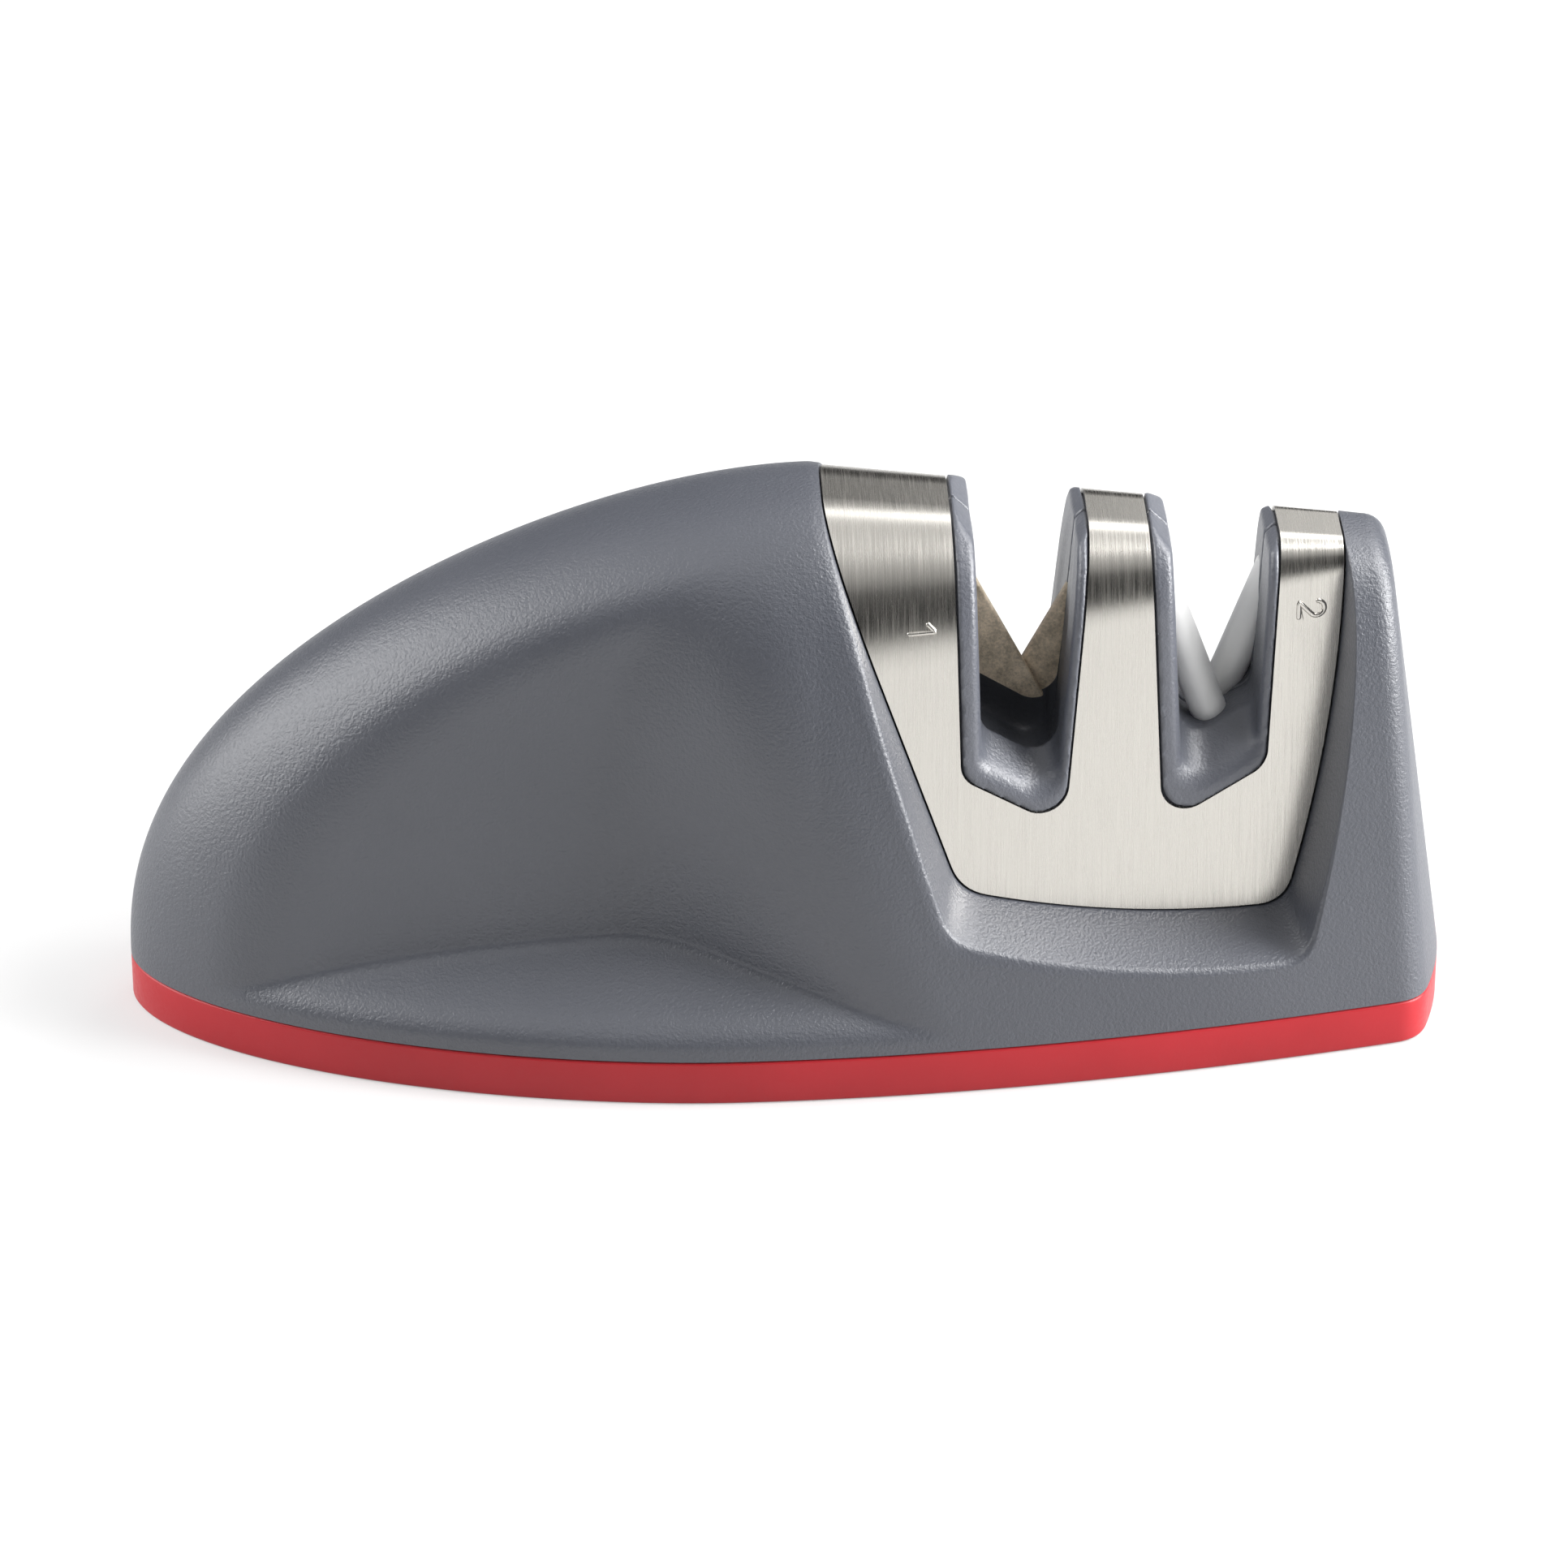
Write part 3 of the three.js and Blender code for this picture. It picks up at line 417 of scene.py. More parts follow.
# %% [markdown]
# The notch that holds the head is cut with a flared tool. Its sides draft outward, as moulded
# walls must, and near the surface the tool turns outward along an arc. The cut leaves a rounded
# lip all round the notch in one step, where a bevel on the finished mesh would be fragile.

# %% The notch tool
LIP_RADIUS = 0.7
LIP_TURN = math.radians(66)
LIP_STEPS = 5
LIP_SPARE = 1.2


def notch_tool():
    inner = head_outline(FIT, FIT, FIT)
    draft = head_outline(*[FIT + d for d in DRAFTS]) - inner
    outward = head_outline(FIT + 1, FIT + 1, FIT + 1) - inner
    seat = head_half_depth(inner[:, 0], np.minimum(inner[:, 1], head_top(inner[:, 0])))
    rise = np.full(len(inner), 1.0)
    for _ in range(4):
        at = inner + draft * rise[:, None]
        surface = body_half_depth(at[:, 0], at[:, 1], half_width(at[:, 0]))
        rise = np.maximum(surface - seat, 0.35)
    radius = np.minimum(LIP_RADIUS, rise * 0.6)

    def ring(height, spread):
        at = inner + draft * height[:, None] + outward * spread[:, None]
        return np.stack([at[:, 0], -(seat + height), at[:, 1]], axis=1)

    rings = [ring(np.zeros(len(inner)), np.zeros(len(inner)))]
    for turn in np.linspace(0, LIP_TURN, LIP_STEPS + 1):
        rings.append(ring(rise - radius * (1 - math.sin(turn)), radius * (1 - math.cos(turn))))
    past_height = rise - radius * (1 - math.sin(LIP_TURN)) + LIP_SPARE * math.cos(LIP_TURN)
    past_spread = radius * (1 - math.cos(LIP_TURN)) + LIP_SPARE * math.sin(LIP_TURN)
    rings.append(ring(past_height, past_spread))
    far = rings[-1].copy()
    far[:, 1] = -WIDTH
    rings.append(far)
    mirrored = [r * [1, -1, 1] for r in rings]
    return loft("notch_tool", rings[::-1] + mirrored)


# %% [markdown]
# The housing is the dense loft with the notch taken out, and with the hollow, the screw bosses
# and the screw holes that the solid has inside. The hollow shows to nobody, but it keeps the
# plate and the screws from running through solid plastic.

# %% The housing
BODY_STEPS = {"nose": 70, "side": 170, "corner": 8, "end": 18, "ledge": 46, "arch": 64}
HOLLOW_STEPS = {"nose": 16, "side": 24, "corner": 3, "end": 4, "ledge": 5, "arch": 12}
NOTCH_WALL = 5.0
BOSS_RADIUS = 3.6
BOSS_HEIGHT = 30.0
HOLE_SPARE = 0.25


def post(name, radius, x, y, low, high, sides=32):
    turn = np.arange(sides) / sides * 2 * math.pi
    rings = [
        np.stack([x + radius * np.cos(turn), y + radius * np.sin(turn), np.full(sides, z)], axis=1)
        for z in (low, high)
    ]
    return loft(name, rings)


def screw_room(node, spare):
    low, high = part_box(node)
    middle = [(a + b) / 2 / MM for a, b in zip(low, high)]
    radius = (high[0] - low[0]) / 2 / MM + spare
    return middle, radius, low[2] / MM - spare, high[2] / MM + spare


def housing_piece():
    piece = body_loft("housing_shell", 0.0, BODY_STEPS, SOLE_TOP)
    hollow = body_loft("hollow", WALL, HOLLOW_STEPS, 0.0)
    carve(hollow, prism("keep", head_outline(NOTCH_WALL, NOTCH_WALL, WALL), -WIDTH, WIDTH))
    for i in range(1, 6):
        (x, y, _), _, _, top = screw_room(f"base_screw_{i}", HOLE_SPARE)
        carve(hollow, post("boss", BOSS_RADIUS, x, y, SOLE_TOP + 1, top + BOSS_HEIGHT))
    carve(piece, hollow)
    carve(piece, notch_tool())
    names = [f"base_screw_{i}" for i in range(1, 6)] + ["head_screw_1", "head_screw_2"]
    for name in names:
        (x, y, _), radius, low, high = screw_room(name, HOLE_SPARE)
        carve(piece, post("screw_hole", radius, x, y, low - WALL, high))
    smooth(piece, 28)
    return piece


housing = housing_piece()
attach(housing, "root")
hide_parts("housing")
print("housing faces:", len(housing.data.polygons))

# %% [markdown]
# The sole is a shallow tray of soft plastic. A loft of the plan's outline at several heights and
# insets rounds its foot and its upper edge, which leaves a fine seam under the housing.

# %% The sole
SOLE_FLOOR = 1.4
SOLE_EDGE = 0.5
SOLE_LIP = 0.35
SOLE_STEPS = {"nose": 60, "side": 70, "corner": 10, "end": 16}


def plan_ring(inset, z):
    front = front_outline(inset, SOLE_STEPS)
    back = front[1:-1][::-1]
    x = np.concatenate([front[:, 0], back[:, 0]])
    y = np.concatenate([-front[:, 1], back[:, 1]])
    return np.stack([x, y, np.full(len(x), z)], axis=1)


def quarter(radius, steps=4):
    turn = np.linspace(0, math.pi / 2, steps + 1)
    return radius * (1 - np.sin(turn)), radius * (1 - np.cos(turn))


def sole_piece():
    rings = []
    insets, heights = quarter(SOLE_EDGE)
    rings += [plan_ring(i, z) for i, z in zip(insets, heights)]
    top = SOLE_TOP - SEAM
    insets, heights = quarter(SOLE_LIP)
    rings += [plan_ring(i, top - z) for i, z in zip(insets[::-1], heights[::-1])]
    rings += [plan_ring(WALL, top), plan_ring(WALL, SOLE_FLOOR)]
    piece = loft("red_sole", rings)
    smooth(piece, 50)
    return piece


sole = sole_piece()
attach(sole, "root")
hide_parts("anti_slip_sole")
print("sole faces:", len(sole.data.polygons))

# %% [markdown]
# The steel cover is thin sheet bent over the head: a flat top, round shoulders that shrink
# towards the right, a wider bend below each shoulder, and legs that lean outward. Many sections
# along the head keep the faces small, so that the cuts don't spoil the shading of the steel.


# %% The saddle and the slot openings
def saddle_side(x, depth, drop, leg_steps):
    radius = shoulder(x)
    round_radius, hip_radius = radius - depth, radius * HIP_SCALE - depth
    top = head_top(x) - depth - drop
    turn = np.linspace(math.pi / 2, HIP_TURN, 31)
    y = HEAD_FLAT_HALF + round_radius * np.cos(turn)
    z = top - round_radius + round_radius * np.sin(turn)
    turn = np.linspace(HIP_TURN, LEG_LEAN, 21)[1:]
    hip_y = y[-1] + hip_radius * (np.cos(turn) - math.cos(HIP_TURN))
    hip_z = z[-1] + hip_radius * (np.sin(turn) - math.sin(HIP_TURN))
    leg_z = np.linspace(hip_z[-1], 0, leg_steps + 1)[1:]
    leg_y = hip_y[-1] + (hip_z[-1] - leg_z) * math.tan(LEG_LEAN)
    y = np.concatenate([y, hip_y, leg_y])
    z = np.concatenate([z, hip_z, leg_z])
    return np.stack([np.full(len(y), x), y, z], axis=1)[::-1]


def saddle(name, depth, spare, drop=0.0, sections=2, leg_steps=1):
    rings = []
    for x in np.linspace(HEAD_LEFT[0] - spare, HEAD_RIGHT[0] + spare, sections):
        side = saddle_side(x, depth, drop, leg_steps)
        rings.append(np.concatenate([side * [1, -1, 1], side[::-1]]))
    return loft(name, rings)


COARSE_SLOT = {
    "opening": np.array([[17.9, 70.0], [19.05, 34.4], [30.9, 27.1], [34.3, 70.0]]),
    "lip": 3.2,
    "well": 7.0,
}
FINE_SLOT = {
    "opening": np.array([[39.7, 70.0], [41.95, 26.1], [53.85, 32.3], [55.45, 70.0]]),
    "lip": 4.1,
    "well": 0.0,
}
SLOTS = (COARSE_SLOT, FINE_SLOT)
OPENING_RADIUS = 3.1
FLOOR_SHARPENING = 0.2
RIMS = np.array([2.4, 2.2, 1.3])
RIM_PROUD = 0.5
RIM_DROP = 0.4
RIM_ROUND = 1.1
LIP_DEPTH = 4.5
WELL_RUN = 3.0
LEAD_IN = 1.7
SIDE_STEPS = 18


def unit(vector):
    return vector / np.linalg.norm(vector)


def slot_corners(opening, insets, lift):
    starts, ways = [], []
    for a, b, inset in zip(opening[:-1], opening[1:], insets):
        way = unit(b - a)
        starts.append(a + inset * np.array([-way[1], way[0]]))
        ways.append(way)
    corners = [starts[0]]
    for i in (0, 1):
        gap = starts[i + 1] - starts[i]
        turn = ways[i][0] * ways[i + 1][1] - ways[i][1] * ways[i + 1][0]
        reach = (gap[0] * ways[i + 1][1] - gap[1] * ways[i + 1][0]) / turn
        corners.append(starts[i] + ways[i] * reach + [0, lift])
    corners.append(opening[3] + insets[2] * np.array([-ways[2][1], ways[2][0]]))
    return corners


def arc_corner(before, at, after, radius, steps=12):
    a, b = unit(before - at), unit(after - at)
    bend = math.acos(np.dot(a, b))
    centre = at + unit(a + b) * radius / math.sin(bend / 2)
    start = at + a * radius / math.tan(bend / 2) - centre
    end = at + b * radius / math.tan(bend / 2) - centre
    sweep = math.pi - bend
    t = np.linspace(0, 1, steps + 1)[:, None]
    return centre + (np.sin(sweep * (1 - t)) * start + np.sin(sweep * t) * end) / math.sin(sweep)


def slot_outline(opening, insets, lift=0.0, lead=0.0):
    top_left, low_left, low_right, top_right = slot_corners(opening, insets, lift)
    radius = OPENING_RADIUS - FLOOR_SHARPENING * insets[1]

    def rim(low, high, side):
        z = head_top((low[0] + high[0]) / 2) + RIM_PROUD - RIM_DROP
        on_edge = lambda height: low + (high - low) * (height - low[1]) / (high[1] - low[1])
        return on_edge(z - LEAD_IN), on_edge(z + LEAD_IN) + [side * 2 * lead, 0]

    left_start, left_end = rim(low_left, top_left, -1)
    right_start, right_end = rim(low_right, top_right, 1)
    low_arc = arc_corner(top_left, low_left, low_right, radius)
    high_arc = arc_corner(low_left, low_right, top_right, radius)
    steps = np.linspace(0, 1, SIDE_STEPS, endpoint=False)[:, None]
    return np.concatenate([
        [[left_end[0], top_left[1]], left_end],
        left_start + (low_arc[0] - left_start) * steps,
        low_arc,
        high_arc,
        (right_start + (high_arc[-1] - right_start) * steps)[::-1],
        [right_end, [right_end[0], top_right[1]]],
    ])


# %% [markdown]
# Each slot has a plain raised number on the steel beside it, 1 for the first pass and 2 for the
# second. A number is a round bead along a stroke, sunk until only its crown stands out, and it
# reads downward, so its top points to the right.

# %% Numbers of the slots
MARK_HEIGHT = 2.9
MARK_BEAD = 0.32
MARK_RAISED = 0.2
ONE_PLACE = np.array([13.2, 53.2])
TWO_PLACE = np.array([57.0, 51.6])


def stroke_of_one():
    return np.array([[0.0, 0.72], [0.3, 1.0], [0.3, 0.0]])


def stroke_of_two():
    turn = np.linspace(math.radians(170), math.radians(-38), 16)
    bowl = np.stack([0.3 + 0.3 * np.cos(turn), 0.7 + 0.3 * np.sin(turn)], axis=1)
    return np.concatenate([bowl, [[0.0, 0.0], [0.62, 0.0]]])


def on_steel(flat, lift):
    x, z = flat[:, 0], flat[:, 1]
    step = 0.01
    slope_x = (head_half_depth(x + step, z) - head_half_depth(x - step, z)) / (2 * step)
    slope_z = (head_half_depth(x, z + step) - head_half_depth(x, z - step)) / (2 * step)
    out = np.stack([-slope_x, -np.ones(len(x)), -slope_z], axis=1)
    out /= np.linalg.norm(out, axis=1)[:, None]
    return np.stack([x, -head_half_depth(x, z), z], axis=1) + lift * out, out


def bead(name, stroke, place, sides=14):
    legs = [np.linspace(a, b, 9)[:-1] for a, b in zip(stroke[:-1], stroke[1:])]
    path = np.concatenate(legs + [stroke[-1:]]) * MARK_HEIGHT
    flat = place + np.stack([path[:, 1], -path[:, 0]], axis=1)
    middle, out = on_steel(flat, MARK_RAISED - MARK_BEAD)
    along = np.gradient(middle, axis=0)
    along /= np.linalg.norm(along, axis=1)[:, None]
    across = np.cross(along, out)
    turn = np.arange(sides)[:, None] / sides * 2 * math.pi

    def ring(i, shift, radius):
        circle = np.cos(turn) * across[i] + np.sin(turn) * np.cross(across[i], along[i])
        return middle[i] + along[i] * shift + circle * radius

    bend = np.linspace(math.radians(80), 0, 5)[:-1]
    start = [ring(0, -MARK_BEAD * math.sin(b), MARK_BEAD * math.cos(b)) for b in bend]
    body = [ring(i, 0.0, MARK_BEAD) for i in range(len(middle))]
    end = [ring(-1, MARK_BEAD * math.sin(b), MARK_BEAD * math.cos(b)) for b in reversed(bend)]
    return loft(name, start + body + end)


def slot_marks():
    return [
        bead("mark_one", stroke_of_one(), ONE_PLACE),
        bead("mark_two", stroke_of_two(), TWO_PLACE),
    ]


# %% The steel cover
def steel_piece():
    piece = saddle("steel_saddle", 0.0, 0.5, sections=61, leg_steps=24)
    carve(piece, saddle("inside", STEEL, 1.0))
    carve(piece, prism("trim", head_outline(0, 0, 0), -WIDTH, WIDTH), "INTERSECT")
    for slot in SLOTS:
        carve(piece, prism("slot", slot_outline(slot["opening"], RIMS * 0), -WIDTH, WIDTH))
    for mark in slot_marks():
        carve(piece, mark, "UNION")
    smooth(piece, 30)
    even = piece.modifiers.new("even_normals", "WEIGHTED_NORMAL")
    even.keep_sharp = True
    bpy.ops.object.modifier_apply(modifier=even.name)
    return piece


steel = steel_piece()
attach(steel, "root")
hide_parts("steel_cover")
print("steel faces:", len(steel.data.polygons))

# %% [markdown]
# The plastic core fills the saddle and shows as a rim round each slot, with a floor that falls
# to a lip at both faces. It is cut from simple shapes first. A fine voxel remesh and a few
# smoothing passes then round every edge at once, as the radii of a mould do.


# %% Bars and rods, as shapes that also cut their pockets
COARSE_CROSSING = np.array([26.9, 41.7])
COARSE_TILT = math.radians(27.5)
COARSE_SIZE = (6.4, 1.2)
BAR_FOOT = 6.0
BAR_HOLD = 0.6
COARSE_REACH = (15.5, 11.0)
FINE_CROSSING = np.array([48.5, 39.9])
FINE_TILT = math.radians(20)
FINE_DIAMETER = 4.2
FINE_REACH = (14.0, 10.5)
CROSSING_GAP = 0.15
POCKET_GAP = 0.05


def lean(points, crossing, tilt, across, reach, side, depth):
    down = np.array([-side * math.sin(tilt), 0, -math.cos(tilt)])
    right = np.array([math.cos(tilt), 0, -side * math.sin(tilt)])
    place = np.array([crossing[0], side * depth, crossing[1]])
    place = place + right * side * across / 2 + down * (reach[1] - reach[0]) / 2
    front = np.array([0, 1, 0])
    points = np.asarray(points)
    return place + points[:, :1] * right + points[:, 1:2] * front - points[:, 2:3] * down


def bar_rings(gap, edge):
    width, thick = COARSE_SIZE[0] + 2 * gap, COARSE_SIZE[1] + 2 * gap
    half = sum(COARSE_REACH) / 2 + gap
    turn = np.linspace(0, math.pi / 2, 5)
    corners = []
    for k, (sx, sy) in enumerate(((1, 1), (-1, 1), (-1, -1), (1, -1))):
        centre = np.array([sx * (width / 2 - edge), sy * (thick / 2 - edge)])
        arc = np.stack([np.cos(turn + k * math.pi / 2), np.sin(turn + k * math.pi / 2)], axis=1)
        corners.append(centre + edge * arc)
    section = np.concatenate(corners)
    rings = []
    for z, shrink in ((-half, edge), (-half + edge, 0.0), (half - edge, 0.0), (half, edge)):
        scale = 1 - 2 * shrink / np.array([width, thick])
        flat = section * scale
        rings.append(np.concatenate([flat, np.full((len(flat), 1), z)], axis=1))
    return rings


def coarse_bar(name, side, gap=0.0, edge=0.25):
    depth = CROSSING_GAP + COARSE_SIZE[1] / 2
    rings = [
        lean(r, COARSE_CROSSING, COARSE_TILT, COARSE_SIZE[0], COARSE_REACH, side, depth)
        for r in bar_rings(gap, edge)
    ]
    bar = loft(name, rings)
    foot = slot_outline(COARSE_SLOT["opening"], RIMS - BAR_HOLD - gap, BAR_FOOT - gap)
    carve(bar, prism("foot", foot, -WIDTH, WIDTH), "INTERSECT")
    return bar


def rod_rings(gap, edge, sides=48):
    radius = FINE_DIAMETER / 2 + gap
    half = sum(FINE_REACH) / 2 + gap
    turn = np.arange(sides) / sides * 2 * math.pi
    bend = np.linspace(0, math.pi / 2, 6)
    profile = [(radius - edge + edge * math.sin(b), -half + edge * (1 - math.cos(b))) for b in bend]
    profile += [(r, -z) for r, z in reversed(profile)]
    return [
        np.stack([r * np.cos(turn), r * np.sin(turn), np.full(sides, z)], axis=1) for r, z in profile
    ]


def fine_rod(name, side, gap=0.0, edge=0.6):
    depth = CROSSING_GAP + FINE_DIAMETER / 2
    rings = [
        lean(r, FINE_CROSSING, FINE_TILT, FINE_DIAMETER, FINE_REACH, side, depth)
        for r in rod_rings(gap, edge)
    ]
    return loft(name, rings)


# %% The slot core
CORE_VOXEL = 0.25
CORE_SMOOTHING = 6
CORE_SHARE = 0.35


def slot_tool(slot):
    def ring(depth, mouth, lift):
        flat = slot_outline(slot["opening"], RIMS - mouth, lift, LEAD_IN)
        face = head_half_depth(flat[:, 0], flat[:, 1]) + RIM_PROUD
        y = -np.maximum(face - depth, 0.1 - depth * 0.01)
        return np.stack([flat[:, 0], y, flat[:, 1]], axis=1)

    rings = [ring(-WIDTH / 4, RIM_ROUND, 0.0)]
    for turn in np.linspace(0, math.pi / 2, 7):
        depth = RIM_ROUND * (1 - math.cos(turn))
        rings.append(ring(depth, RIM_ROUND * (1 - math.sin(turn)), slot["lip"] * depth / LIP_DEPTH))
    for part in np.linspace(0, 1, 9):
        fall = slot["well"] * part**2 * (3 - 2 * part)
        rings.append(ring(LIP_DEPTH + WELL_RUN * part, 0.0, slot["lip"] - fall))
    middle = rings[-1] * [1, 0, 1]
    mirrored = [r * [1, -1, 1] for r in reversed(rings)]
    return loft("slot_tool", rings + [middle] + mirrored)


def half_space(side):
    low, high = sorted((side * STEEL_GAP / 2, side * WIDTH))
    corners = [[-LENGTH, low], [LENGTH, low], [LENGTH, high], [-LENGTH, high]]
    return loft("half", [np.array([[x, y, z] for x, y in corners]) for z in (0.0, 2 * WIDTH)])


def core_piece(name, side):
    piece = saddle(name, STEEL + STEEL_GAP, 0.5)
    carve(piece, prism("trim", head_outline(-STEEL_GAP, -STEEL_GAP, -STEEL_GAP), -WIDTH, WIDTH), "INTERSECT")
    for slot in SLOTS:
        rim = saddle("rim", -RIM_PROUD, 0.0, RIM_DROP)
        around = slot_outline(slot["opening"], RIMS * 0 + FIT)
        carve(rim, prism("rim_trim", around, -WIDTH, WIDTH), "INTERSECT")
        carve(piece, rim, "UNION")
    for slot in SLOTS:
        carve(piece, slot_tool(slot))
    carve(piece, half_space(side), "INTERSECT")
    remesh = piece.modifiers.new("round", "REMESH")
    remesh.mode = "VOXEL"
    remesh.voxel_size = CORE_VOXEL * MM
    soften = piece.modifiers.new("soften", "SMOOTH")
    soften.factor = 0.5
    soften.iterations = CORE_SMOOTHING
    bpy.context.view_layer.objects.active = piece
    bpy.ops.object.modifier_apply(modifier=remesh.name)
    bpy.ops.object.modifier_apply(modifier=soften.name)
    thin = piece.modifiers.new("thin", "DECIMATE")
    thin.ratio = CORE_SHARE
    bpy.ops.object.modifier_apply(modifier=thin.name)
    for lean_side in (-1, 1):
        carve(piece, coarse_bar("pocket", lean_side, POCKET_GAP))
        carve(piece, fine_rod("pocket", lean_side, POCKET_GAP))
    smooth(piece, 45)
    return piece


for name, side in (("slot_core_front", -1), ("slot_core_rear", 1)):
    core = core_piece(f"{name}_moulded", side)
    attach(core, "root")
    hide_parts(name)
    print(name, "faces:", len(core.data.polygons))

# %% [markdown]
# The abrasives are plain pieces: flat bars with a grit coat in the coarse slot, and white
# ceramic rods in the fine slot. Small rounded edges catch the light as on the real ones.

# %% The abrasives
for place, side in (("left", -1), ("right", 1)):
    bar = coarse_bar(f"grit_bar_{place}", side)
    smooth(bar, 40)
    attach(bar, "root")
    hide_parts(f"coarse_bar_{place}")
    rod = fine_rod(f"ceramic_rod_{place}", side)
    smooth(rod, 40)
    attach(rod, "root")
    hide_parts(f"fine_rod_{place}")
print("bars and rods made")

# %% [markdown]
# Finishes are node materials. Each starts from one shader, and a helper adds a node and links
# it in one line, so that the recipe of a finish reads from top to bottom.


# %% Material helpers
def new_finish(name):
    finish = bpy.data.materials.new(name)
    finish.use_nodes = True
    tree = finish.node_tree
    return finish, tree, tree.nodes["Principled BSDF"]


def add(tree, kind, inputs=None, **settings):
    node = tree.nodes.new(kind)
    for key, value in settings.items():
        setattr(node, key, value)
    for key, value in (inputs or {}).items():
        if isinstance(value, bpy.types.NodeSocket):
            tree.links.new(value, node.inputs[key])
        else:
            node.inputs[key].default_value = value
    return node


def place_of(tree, scale=(1, 1, 1)):
    where = add(tree, "ShaderNodeTexCoord")
    return add(tree, "ShaderNodeMapping", {"Vector": where.outputs["Object"], "Scale": scale}).outputs[0]


def noise(tree, vector, scale, detail=2.0, roughness=0.5):
    inputs = {"Vector": vector, "Scale": scale, "Detail": detail, "Roughness": roughness}
    return add(tree, "ShaderNodeTexNoise", inputs).outputs["Fac"]


def spread(tree, value, low, high, start=0.3, end=0.7):
    inputs = {"Value": value, "From Min": start, "From Max": end, "To Min": low, "To Max": high}
    return add(tree, "ShaderNodeMapRange", inputs).outputs[0]


def tint(tree, value, dark, light):
    ramp = add(tree, "ShaderNodeMix", data_type="RGBA")
    tree.links.new(value, ramp.inputs["Factor"])
    ramp.inputs[6].default_value = (*dark, 1)
    ramp.inputs[7].default_value = (*light, 1)
    return ramp.outputs[2]


def relief(tree, height, depth, strength=1.0):
    inputs = {"Height": height, "Distance": depth, "Strength": strength}
    return add(tree, "ShaderNodeBump", inputs).outputs[0]


# %% [markdown]
# The grip and the core are the same kind of plastic with a fine spark texture. A noise of about
# a third of a millimetre gives the grain, and a broad one moves the colour and the gloss a
# little, because a moulded face is never quite even.


# %% Moulded plastic
def moulded_plastic(name, dark, light, gloss, grain):
    finish, tree, shader = new_finish(name)
    shader.inputs["Specular IOR Level"].default_value = 0.9
    where = place_of(tree)
    broad = noise(tree, where, 45, 2)
    fine = noise(tree, where, 2600, 2, 0.6)
    tree.links.new(tint(tree, spread(tree, broad, 0, 1), dark, light), shader.inputs["Base Color"])
    tree.links.new(spread(tree, fine, gloss - 0.04, gloss + 0.06), shader.inputs["Roughness"])
    tree.links.new(relief(tree, fine, grain), shader.inputs["Normal"])
    return finish


shell_plastic = moulded_plastic("grip_plastic", (0.069, 0.074, 0.09), (0.079, 0.084, 0.101), 0.4, 0.0001)
core_plastic = moulded_plastic("core_plastic", (0.1, 0.106, 0.126), (0.112, 0.118, 0.14), 0.38, 0.00008)


# %% Soft red plastic of the sole
def sole_plastic():
    finish, tree, shader = new_finish("red_sole_plastic")
    where = place_of(tree)
    broad = noise(tree, where, 60, 3)
    fine = noise(tree, where, 1800, 2, 0.6)
    colour = tint(tree, spread(tree, broad, 0, 1), (0.45, 0.012, 0.019), (0.51, 0.016, 0.025))
    tree.links.new(colour, shader.inputs["Base Color"])
    tree.links.new(spread(tree, fine, 0.36, 0.46), shader.inputs["Roughness"])
    tree.links.new(relief(tree, fine, 0.000012), shader.inputs["Normal"])
    return finish


# %% [markdown]
# The steel is brushed over the head from front to back, so its scratches lie across X. A noise
# stretched along the bend gives them: fine in X and long in Y and Z. They move the gloss, the
# tone and the surface together, as real scratches do.


# %% Brushed steel
def brushed_steel():
    finish, tree, shader = new_finish("brushed_steel")
    streaks = noise(tree, place_of(tree, (4200, 90, 90)), 1.0, 3, 0.6)
    hairs = noise(tree, place_of(tree, (9000, 160, 160)), 1.0, 2, 0.5)
    colour = tint(tree, spread(tree, streaks, 0, 1), (0.575, 0.553, 0.512), (0.6, 0.578, 0.536))
    shader.inputs["Metallic"].default_value = 1.0
    tree.links.new(colour, shader.inputs["Base Color"])
    tree.links.new(spread(tree, hairs, 0.2, 0.31), shader.inputs["Roughness"])
    tree.links.new(relief(tree, streaks, 0.0000035), shader.inputs["Normal"])
    return finish


# %% Grit coat, ceramic and screws
def grit_coat():
    finish, tree, shader = new_finish("grit_coat")
    where = place_of(tree)
    grains = noise(tree, where, 3200, 3, 0.7)
    patches = noise(tree, where, 500, 2)
    mixed = add(tree, "ShaderNodeMath", {0: grains, 1: patches}, operation="ADD").outputs[0]
    colour = tint(tree, spread(tree, mixed, 0, 1, 0.75, 1.25), (0.46, 0.385, 0.28), (0.95, 0.8, 0.61))
    tree.links.new(colour, shader.inputs["Base Color"])
    shader.inputs["Metallic"].default_value = 0.1
    shader.inputs["Roughness"].default_value = 0.6
    tree.links.new(relief(tree, grains, 0.00006), shader.inputs["Normal"])
    return finish


def white_ceramic():
    finish, tree, shader = new_finish("white_ceramic")
    where = place_of(tree)
    fine = noise(tree, where, 2400, 2)
    broad = noise(tree, where, 200, 2)
    colour = tint(tree, spread(tree, broad, 0, 1), (0.93, 0.93, 0.92), (0.96, 0.96, 0.95))
    tree.links.new(colour, shader.inputs["Base Color"])
    tree.links.new(spread(tree, fine, 0.32, 0.42), shader.inputs["Roughness"])
    tree.links.new(relief(tree, fine, 0.000006), shader.inputs["Normal"])
    return finish


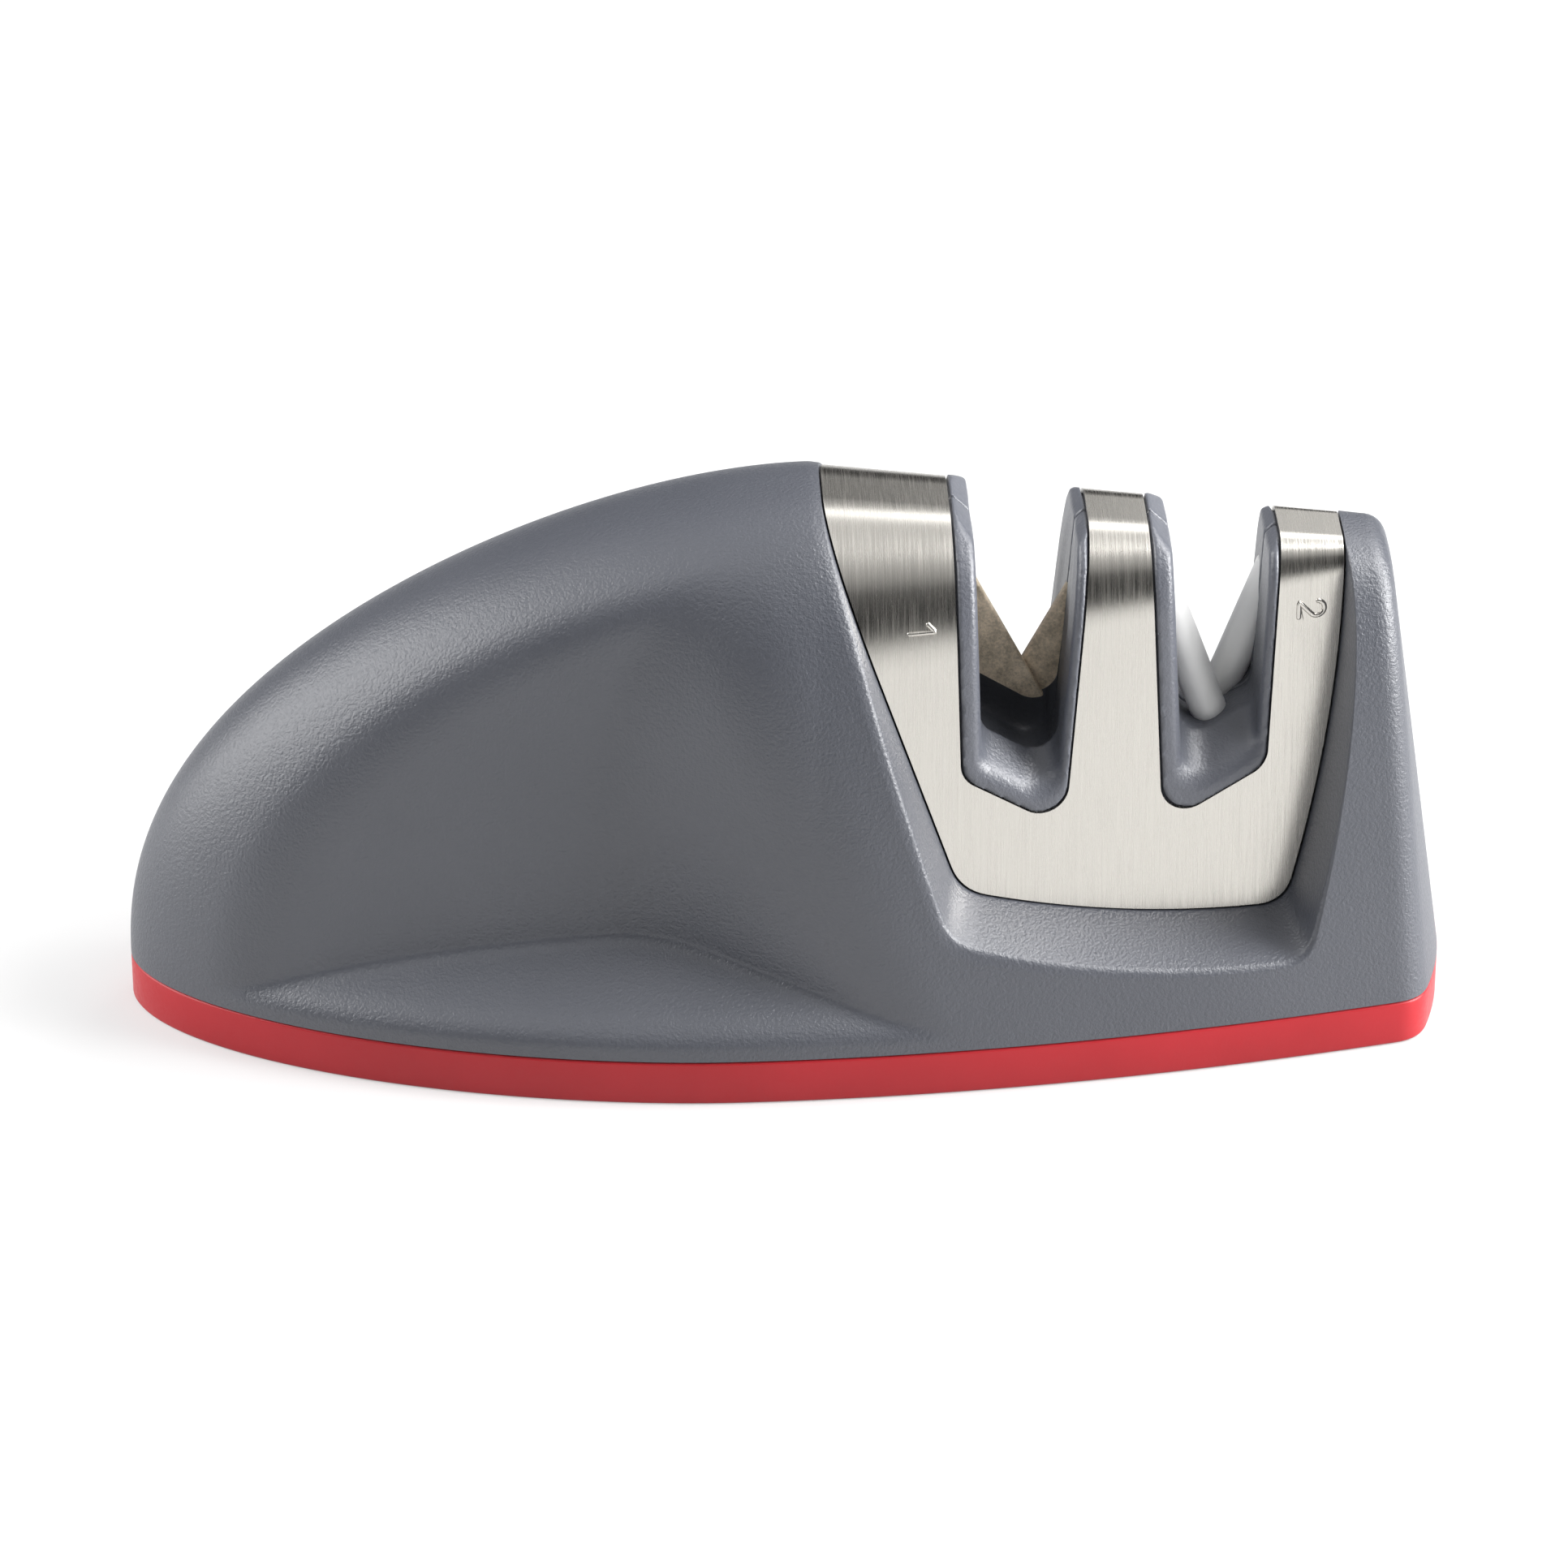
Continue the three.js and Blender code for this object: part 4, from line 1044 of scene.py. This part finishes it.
def screw_steel():
    finish, tree, shader = new_finish("screw_steel")
    turned = noise(tree, place_of(tree), 900, 2)
    tree.links.new(tint(tree, turned, (0.42, 0.42, 0.43), (0.55, 0.55, 0.56)), shader.inputs["Base Color"])
    shader.inputs["Metallic"].default_value = 1.0
    tree.links.new(spread(tree, turned, 0.3, 0.45), shader.inputs["Roughness"])
    return finish


FINISHES = {
    "shell": shell_plastic,
    "core": core_plastic,
    "sole": sole_plastic(),
    "steel": brushed_steel(),
    "grit": grit_coat(),
    "ceramic": white_ceramic(),
    "screw": screw_steel(),
}


# %% Dress every piece
def dress(piece, finish):
    piece.data.materials.clear()
    piece.data.materials.append(finish)


slot_of_node = {part["node"]: part["material_slot"] for part in frame["record"]["subparts"]}
for node, piece in frame["nodes"].items():
    dress(piece, FINISHES[slot_of_node[node]])
for piece, slot in ((housing, "shell"), (sole, "sole"), (steel, "steel")):
    dress(piece, FINISHES[slot])
for side in ("front", "rear"):
    dress(bpy.data.objects[f"slot_core_{side}_moulded"], FINISHES["core"])
for side in ("left", "right"):
    dress(bpy.data.objects[f"grit_bar_{side}"], FINISHES["grit"])
    dress(bpy.data.objects[f"ceramic_rod_{side}"], FINISHES["ceramic"])
print("finishes:", len(FINISHES))

# %% [markdown]
# The studio is a wide pale floor, a large soft box to the left, two smaller ones to the right,
# two weak ones behind, and a sky that is bright above and dark near the horizon. The floor
# glows a little for the camera and for reflections, so that it reads as white paper and still
# takes a shadow.

# %% Floor
FLOOR_HALF = 3.0
FLOOR_GLOW = 0.43


def floor_paper():
    finish, tree, shader = new_finish("floor_paper")
    path = add(tree, "ShaderNodeLightPath")
    seen = add(tree, "ShaderNodeMath", {0: path.outputs["Is Camera Ray"], 1: path.outputs["Is Glossy Ray"]},
               operation="MAXIMUM").outputs[0]
    seen = add(tree, "ShaderNodeMath", {0: seen, 1: path.outputs["Is Transmission Ray"]},
               operation="MAXIMUM").outputs[0]
    glow = add(tree, "ShaderNodeMath", {0: seen, 1: FLOOR_GLOW}, operation="MULTIPLY").outputs[0]
    shader.inputs["Base Color"].default_value = (0.4, 0.4, 0.4, 1)
    shader.inputs["Roughness"].default_value = 0.9
    shader.inputs["Emission Color"].default_value = (1, 1, 1, 1)
    tree.links.new(glow, shader.inputs["Emission Strength"])
    return finish


def sheet(name, corners, finish):
    mesh = bpy.data.meshes.new(name)
    mesh.from_pydata(corners, [], [(0, 1, 2, 3)])
    piece = bpy.data.objects.new(name, mesh)
    bpy.context.scene.collection.objects.link(piece)
    dress(piece, finish)
    return piece


ends = [(-1, -1), (1, -1), (1, 1), (-1, 1)]
floor = sheet("floor", [(x * FLOOR_HALF, y * FLOOR_HALF, 0.0) for x, y in ends], floor_paper())


# %% Lamps
def soft_box(name, place, aim, size, power):
    lamp = bpy.data.lights.new(name, "AREA")
    lamp.shape = "RECTANGLE"
    lamp.size, lamp.size_y = size
    lamp.energy = power
    box = bpy.data.objects.new(name, lamp)
    box.location = place
    box.rotation_euler = (Vector(place) - Vector(aim)).to_track_quat("Z", "Y").to_euler()
    bpy.context.scene.collection.objects.link(box)


MIDDLE = (0.0, 0.0, 0.03)
soft_box("left_box", (-0.6, 0.02, 0.34), MIDDLE, (0.55, 0.62), 5.2)
soft_box("right_box", (0.44, -0.04, 0.5), MIDDLE, (0.35, 0.35), 4)
soft_box("low_box", (0.6, -0.12, 0.18), MIDDLE, (0.25, 0.25), 4.7)
soft_box("back_box", (0.36, 0.34, 0.55), MIDDLE, (0.5, 0.4), 1.6)
soft_box("far_box", (0.32, 0.72, 0.42), MIDDLE, (0.3, 0.25), 0.16)


# %% Sky
def sky():
    world = bpy.data.worlds.new("studio")
    bpy.context.scene.world = world
    world.use_nodes = True
    tree = world.node_tree
    where = add(tree, "ShaderNodeTexCoord").outputs["Generated"]
    height = add(tree, "ShaderNodeSeparateXYZ", {"Vector": where}).outputs["Z"]
    level = add(tree, "ShaderNodeValToRGB", {"Fac": height})
    stops = ((0.0, 0.01), (0.26, 0.015), (0.42, 0.18), (0.55, 0.42), (0.77, 0.68), (1.0, 1.0))
    ramp = level.color_ramp
    while len(ramp.elements) < len(stops):
        ramp.elements.new(0.5)
    for element, (at, grey) in zip(ramp.elements, stops):
        element.position = at
        element.color = (grey, grey, grey, 1)
    backdrop = tree.nodes["Background"]
    tree.links.new(level.outputs["Color"], backdrop.inputs["Color"])
    backdrop.inputs["Strength"].default_value = 0.75


sky()

# %% [markdown]
# The camera stands a little left of the middle and looks down at about thirty degrees with a
# long lens, as the photograph's perspective shows: the near and far edges keep almost the same
# scale. The scene is square, so one sensor width is enough.

# %% Camera
VIEW_TURN = -0.0377
VIEW_RISE = 0.51766
VIEW_DISTANCE = 0.8
VIEW_AIM = Vector((-0.0001, 0.0, 0.02585))
camera_data = bpy.data.cameras.new("camera")
camera_data.lens = 161.7
camera_data.sensor_width = 36
camera = bpy.data.objects.new("camera", camera_data)
away = Vector((
    math.sin(VIEW_TURN) * math.cos(VIEW_RISE),
    -math.cos(VIEW_TURN) * math.cos(VIEW_RISE),
    math.sin(VIEW_RISE),
))
camera.location = VIEW_AIM + away * VIEW_DISTANCE
camera.rotation_euler = away.to_track_quat("Z", "Y").to_euler()
bpy.context.scene.collection.objects.link(camera)
bpy.context.scene.camera = camera
bpy.context.scene.view_settings.view_transform = "Standard"
